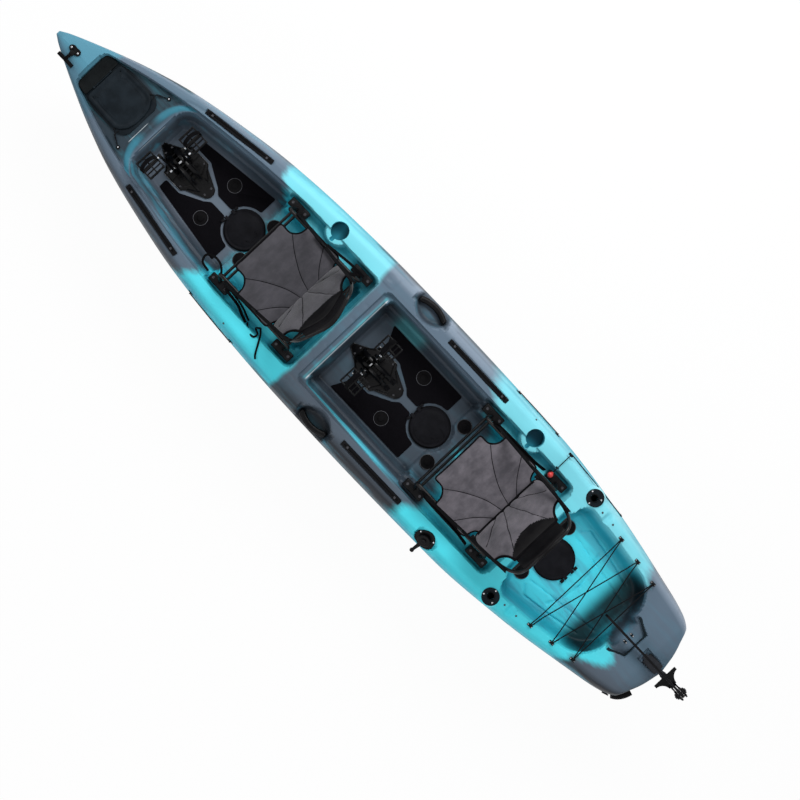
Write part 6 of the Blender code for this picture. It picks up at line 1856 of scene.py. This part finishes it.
# Stern bumper. A short fender of moulded rubber, bent round the port corner of the stern and screwed to
# the side of the hull.

share = ((4.194, 0.2440, 0.224), (4.217, 0.2280, 0.222), (4.236, 0.1990, 0.220), (4.245, 0.1700, 0.220))
path = [(at(b), y_, z_) for b, y_, z_ in share]
placed(sweep("stern_bumper", curve(path, 0.006), 0.0270, 0.0200, 16), "hull", None, RUBBER)


# Rudder. A steel bracket bolted to the stern, a moulded steering head with curved horns on its pin, and a
# thin blade that lies forward over the deck when it is lifted.

BLADE = plastic("rudder_blade_black", tone(8, 8, 11), 0.36, 0.25, 260.0, Specular_IOR_Level=0.1)
BRACKET = plastic("black_steel", tone(36, 38, 43), 0.38, 0.2, 260.0, Metallic=0.3, Specular_IOR_Level=0.18)
placed(refined("stern_bracket", "rudder_bracket", 0.0, 0.0008), "hull", "rudder_bracket", BRACKET)
horns = refined("steering_head", "rudder_head", 0.0, 0.0008)
cut_away(horns, [upright(circle(4.350, side * 0.0700, 0.0475, 48), 0.20, 0.40) for side in (1, -1)])
head = [cover(smooth_by_angle(horns, 30), MOULDED)]
head.append(cover(block((-2.3745, -0.0125, 0.2985), (-2.3360, 0.0125, 0.3045), 0.0015), MOULDED))
pivot = Vector((-2.4035, 0, 0.345))
for side in (1, -1):
    cheek = disc((pivot.x, side * 0.0085, pivot.z), (0, side, 0), 0.0230, 0.0040, (), 40, 0.0006)
    head.append(cover(cheek, MOULDED))
# a stepped cap, a knob and a screw on the pivot's end, each with its place out from the middle
for side in (1, -1):
    for out_, radius, depth, steps, count, bevel, finish_ in (
        (0.0100, 0.0260, 0.0085, ((0.004, 0.0012), (0.0006, -0.0010)), 32, 0.0012, MOULDED),
        (0.0185, 0.0165, 0.0080, ((0.003, 0.0010),), 12, 0.0010, MOULDED),
        (0.0265, 0.0080, 0.0050, ((0.002, 0.0006),), 20, 0.0006, DARK_STEEL),
    ):
        spot = pivot + Vector((0, side * out_, 0))
        head.append(cover(disc(spot, (0, side, 0), radius, depth, steps, count, bevel), finish_))
placed(join("steering_head", head), "rudder_head", "rudder_head")
placed(refined("lifted_blade", "rudder_blade", 0.0, 0.0014), "rudder_blade", "rudder_blade", BLADE)


# Tank well bungee. One elastic cord in a woven cover, laced back and forth over the well through six
# moulded pad eyes and tied off at the first.

places = [(back, float(well_half(np.array(back))) + 0.020) for back in (3.660, 3.793, 3.922)]
(b1, y1), (b2, y2), (b3, y3) = places
stops_ = ((b1, y1), (b1, -y1), (b2, y2), (b3, -y3), (b3, y3), (b2, -y2), (b1, y1))
level = DEPTH + 0.012
route = []
for k, ((p, q), (r, s)) in enumerate(zip(stops_, stops_[1:])):
    lift = (0.0, 0.0040, 0.0040, 0.0, -0.0040, -0.0040)[k]
    for t in np.linspace(0, 1, 28)[:-1]:
        ease = min(1.0, 8 * min(t, 1 - t))
        route.append((at(p + (r - p) * t), q + (s - q) * t, level + lift * ease))
route.append((at(b1), y1, level))
route[0] = (at(b1) + 0.0045, y1, level + 0.001)
route[-1] = (at(b1) - 0.0045, y1, level - 0.001)
eyes, rivets = [], []
for back, y_ in places:
    for side in (1, -1):
        x_, w = at(back), side * (y_ + 0.004)
        low, high = (x_ - 0.0150, w - 0.0070, DEPTH + 0.0004), (x_ + 0.0150, w + 0.0070, DEPTH + 0.0046)
        foot = block(low, high, 0.0030, 3)
        for end in (-0.0105, 0.0105):
            rivets.append(disc((x_ + end, w, DEPTH + 0.0044), (0, 0, 1), 0.0030, 0.0012, (), 14, 0.0003))
        w = side * y_
        post = rod_between((x_, w, DEPTH + 0.002), (x_, w, DEPTH + 0.0185), 0.0052, 20)
        cap = disc((x_, w, DEPTH + 0.0165), (0, 0, 1), 0.0086, 0.0040, ((0.002, 0.0006),), 24, 0.0010)
        eyes += [foot, post, cap]
bungee = taut_line("tank_bungee", route[::3], 0.0058)
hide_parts("tankwell_bungee")
eyes = [cover(piece, MOULDED) for piece in eyes] + [cover(piece, STEEL) for piece in rivets]
placed(join("bungee_eyes", eyes), "hull", None)


# Drain plug and keel strip. The plug screws into the stern corner; the strip is a replaceable plate
# where the keel meets the ground.

plug = refined("stern_drain_plug", "drain_plug", 0.0, 0.0008)
placed(plug, "drain_plug", "drain_plug", MOULDED)
strip = refined("skid_plate", "keel_wear_strip", 0.0, 0.0010)
placed(strip, "hull", "keel_wear_strip", MOULDED)
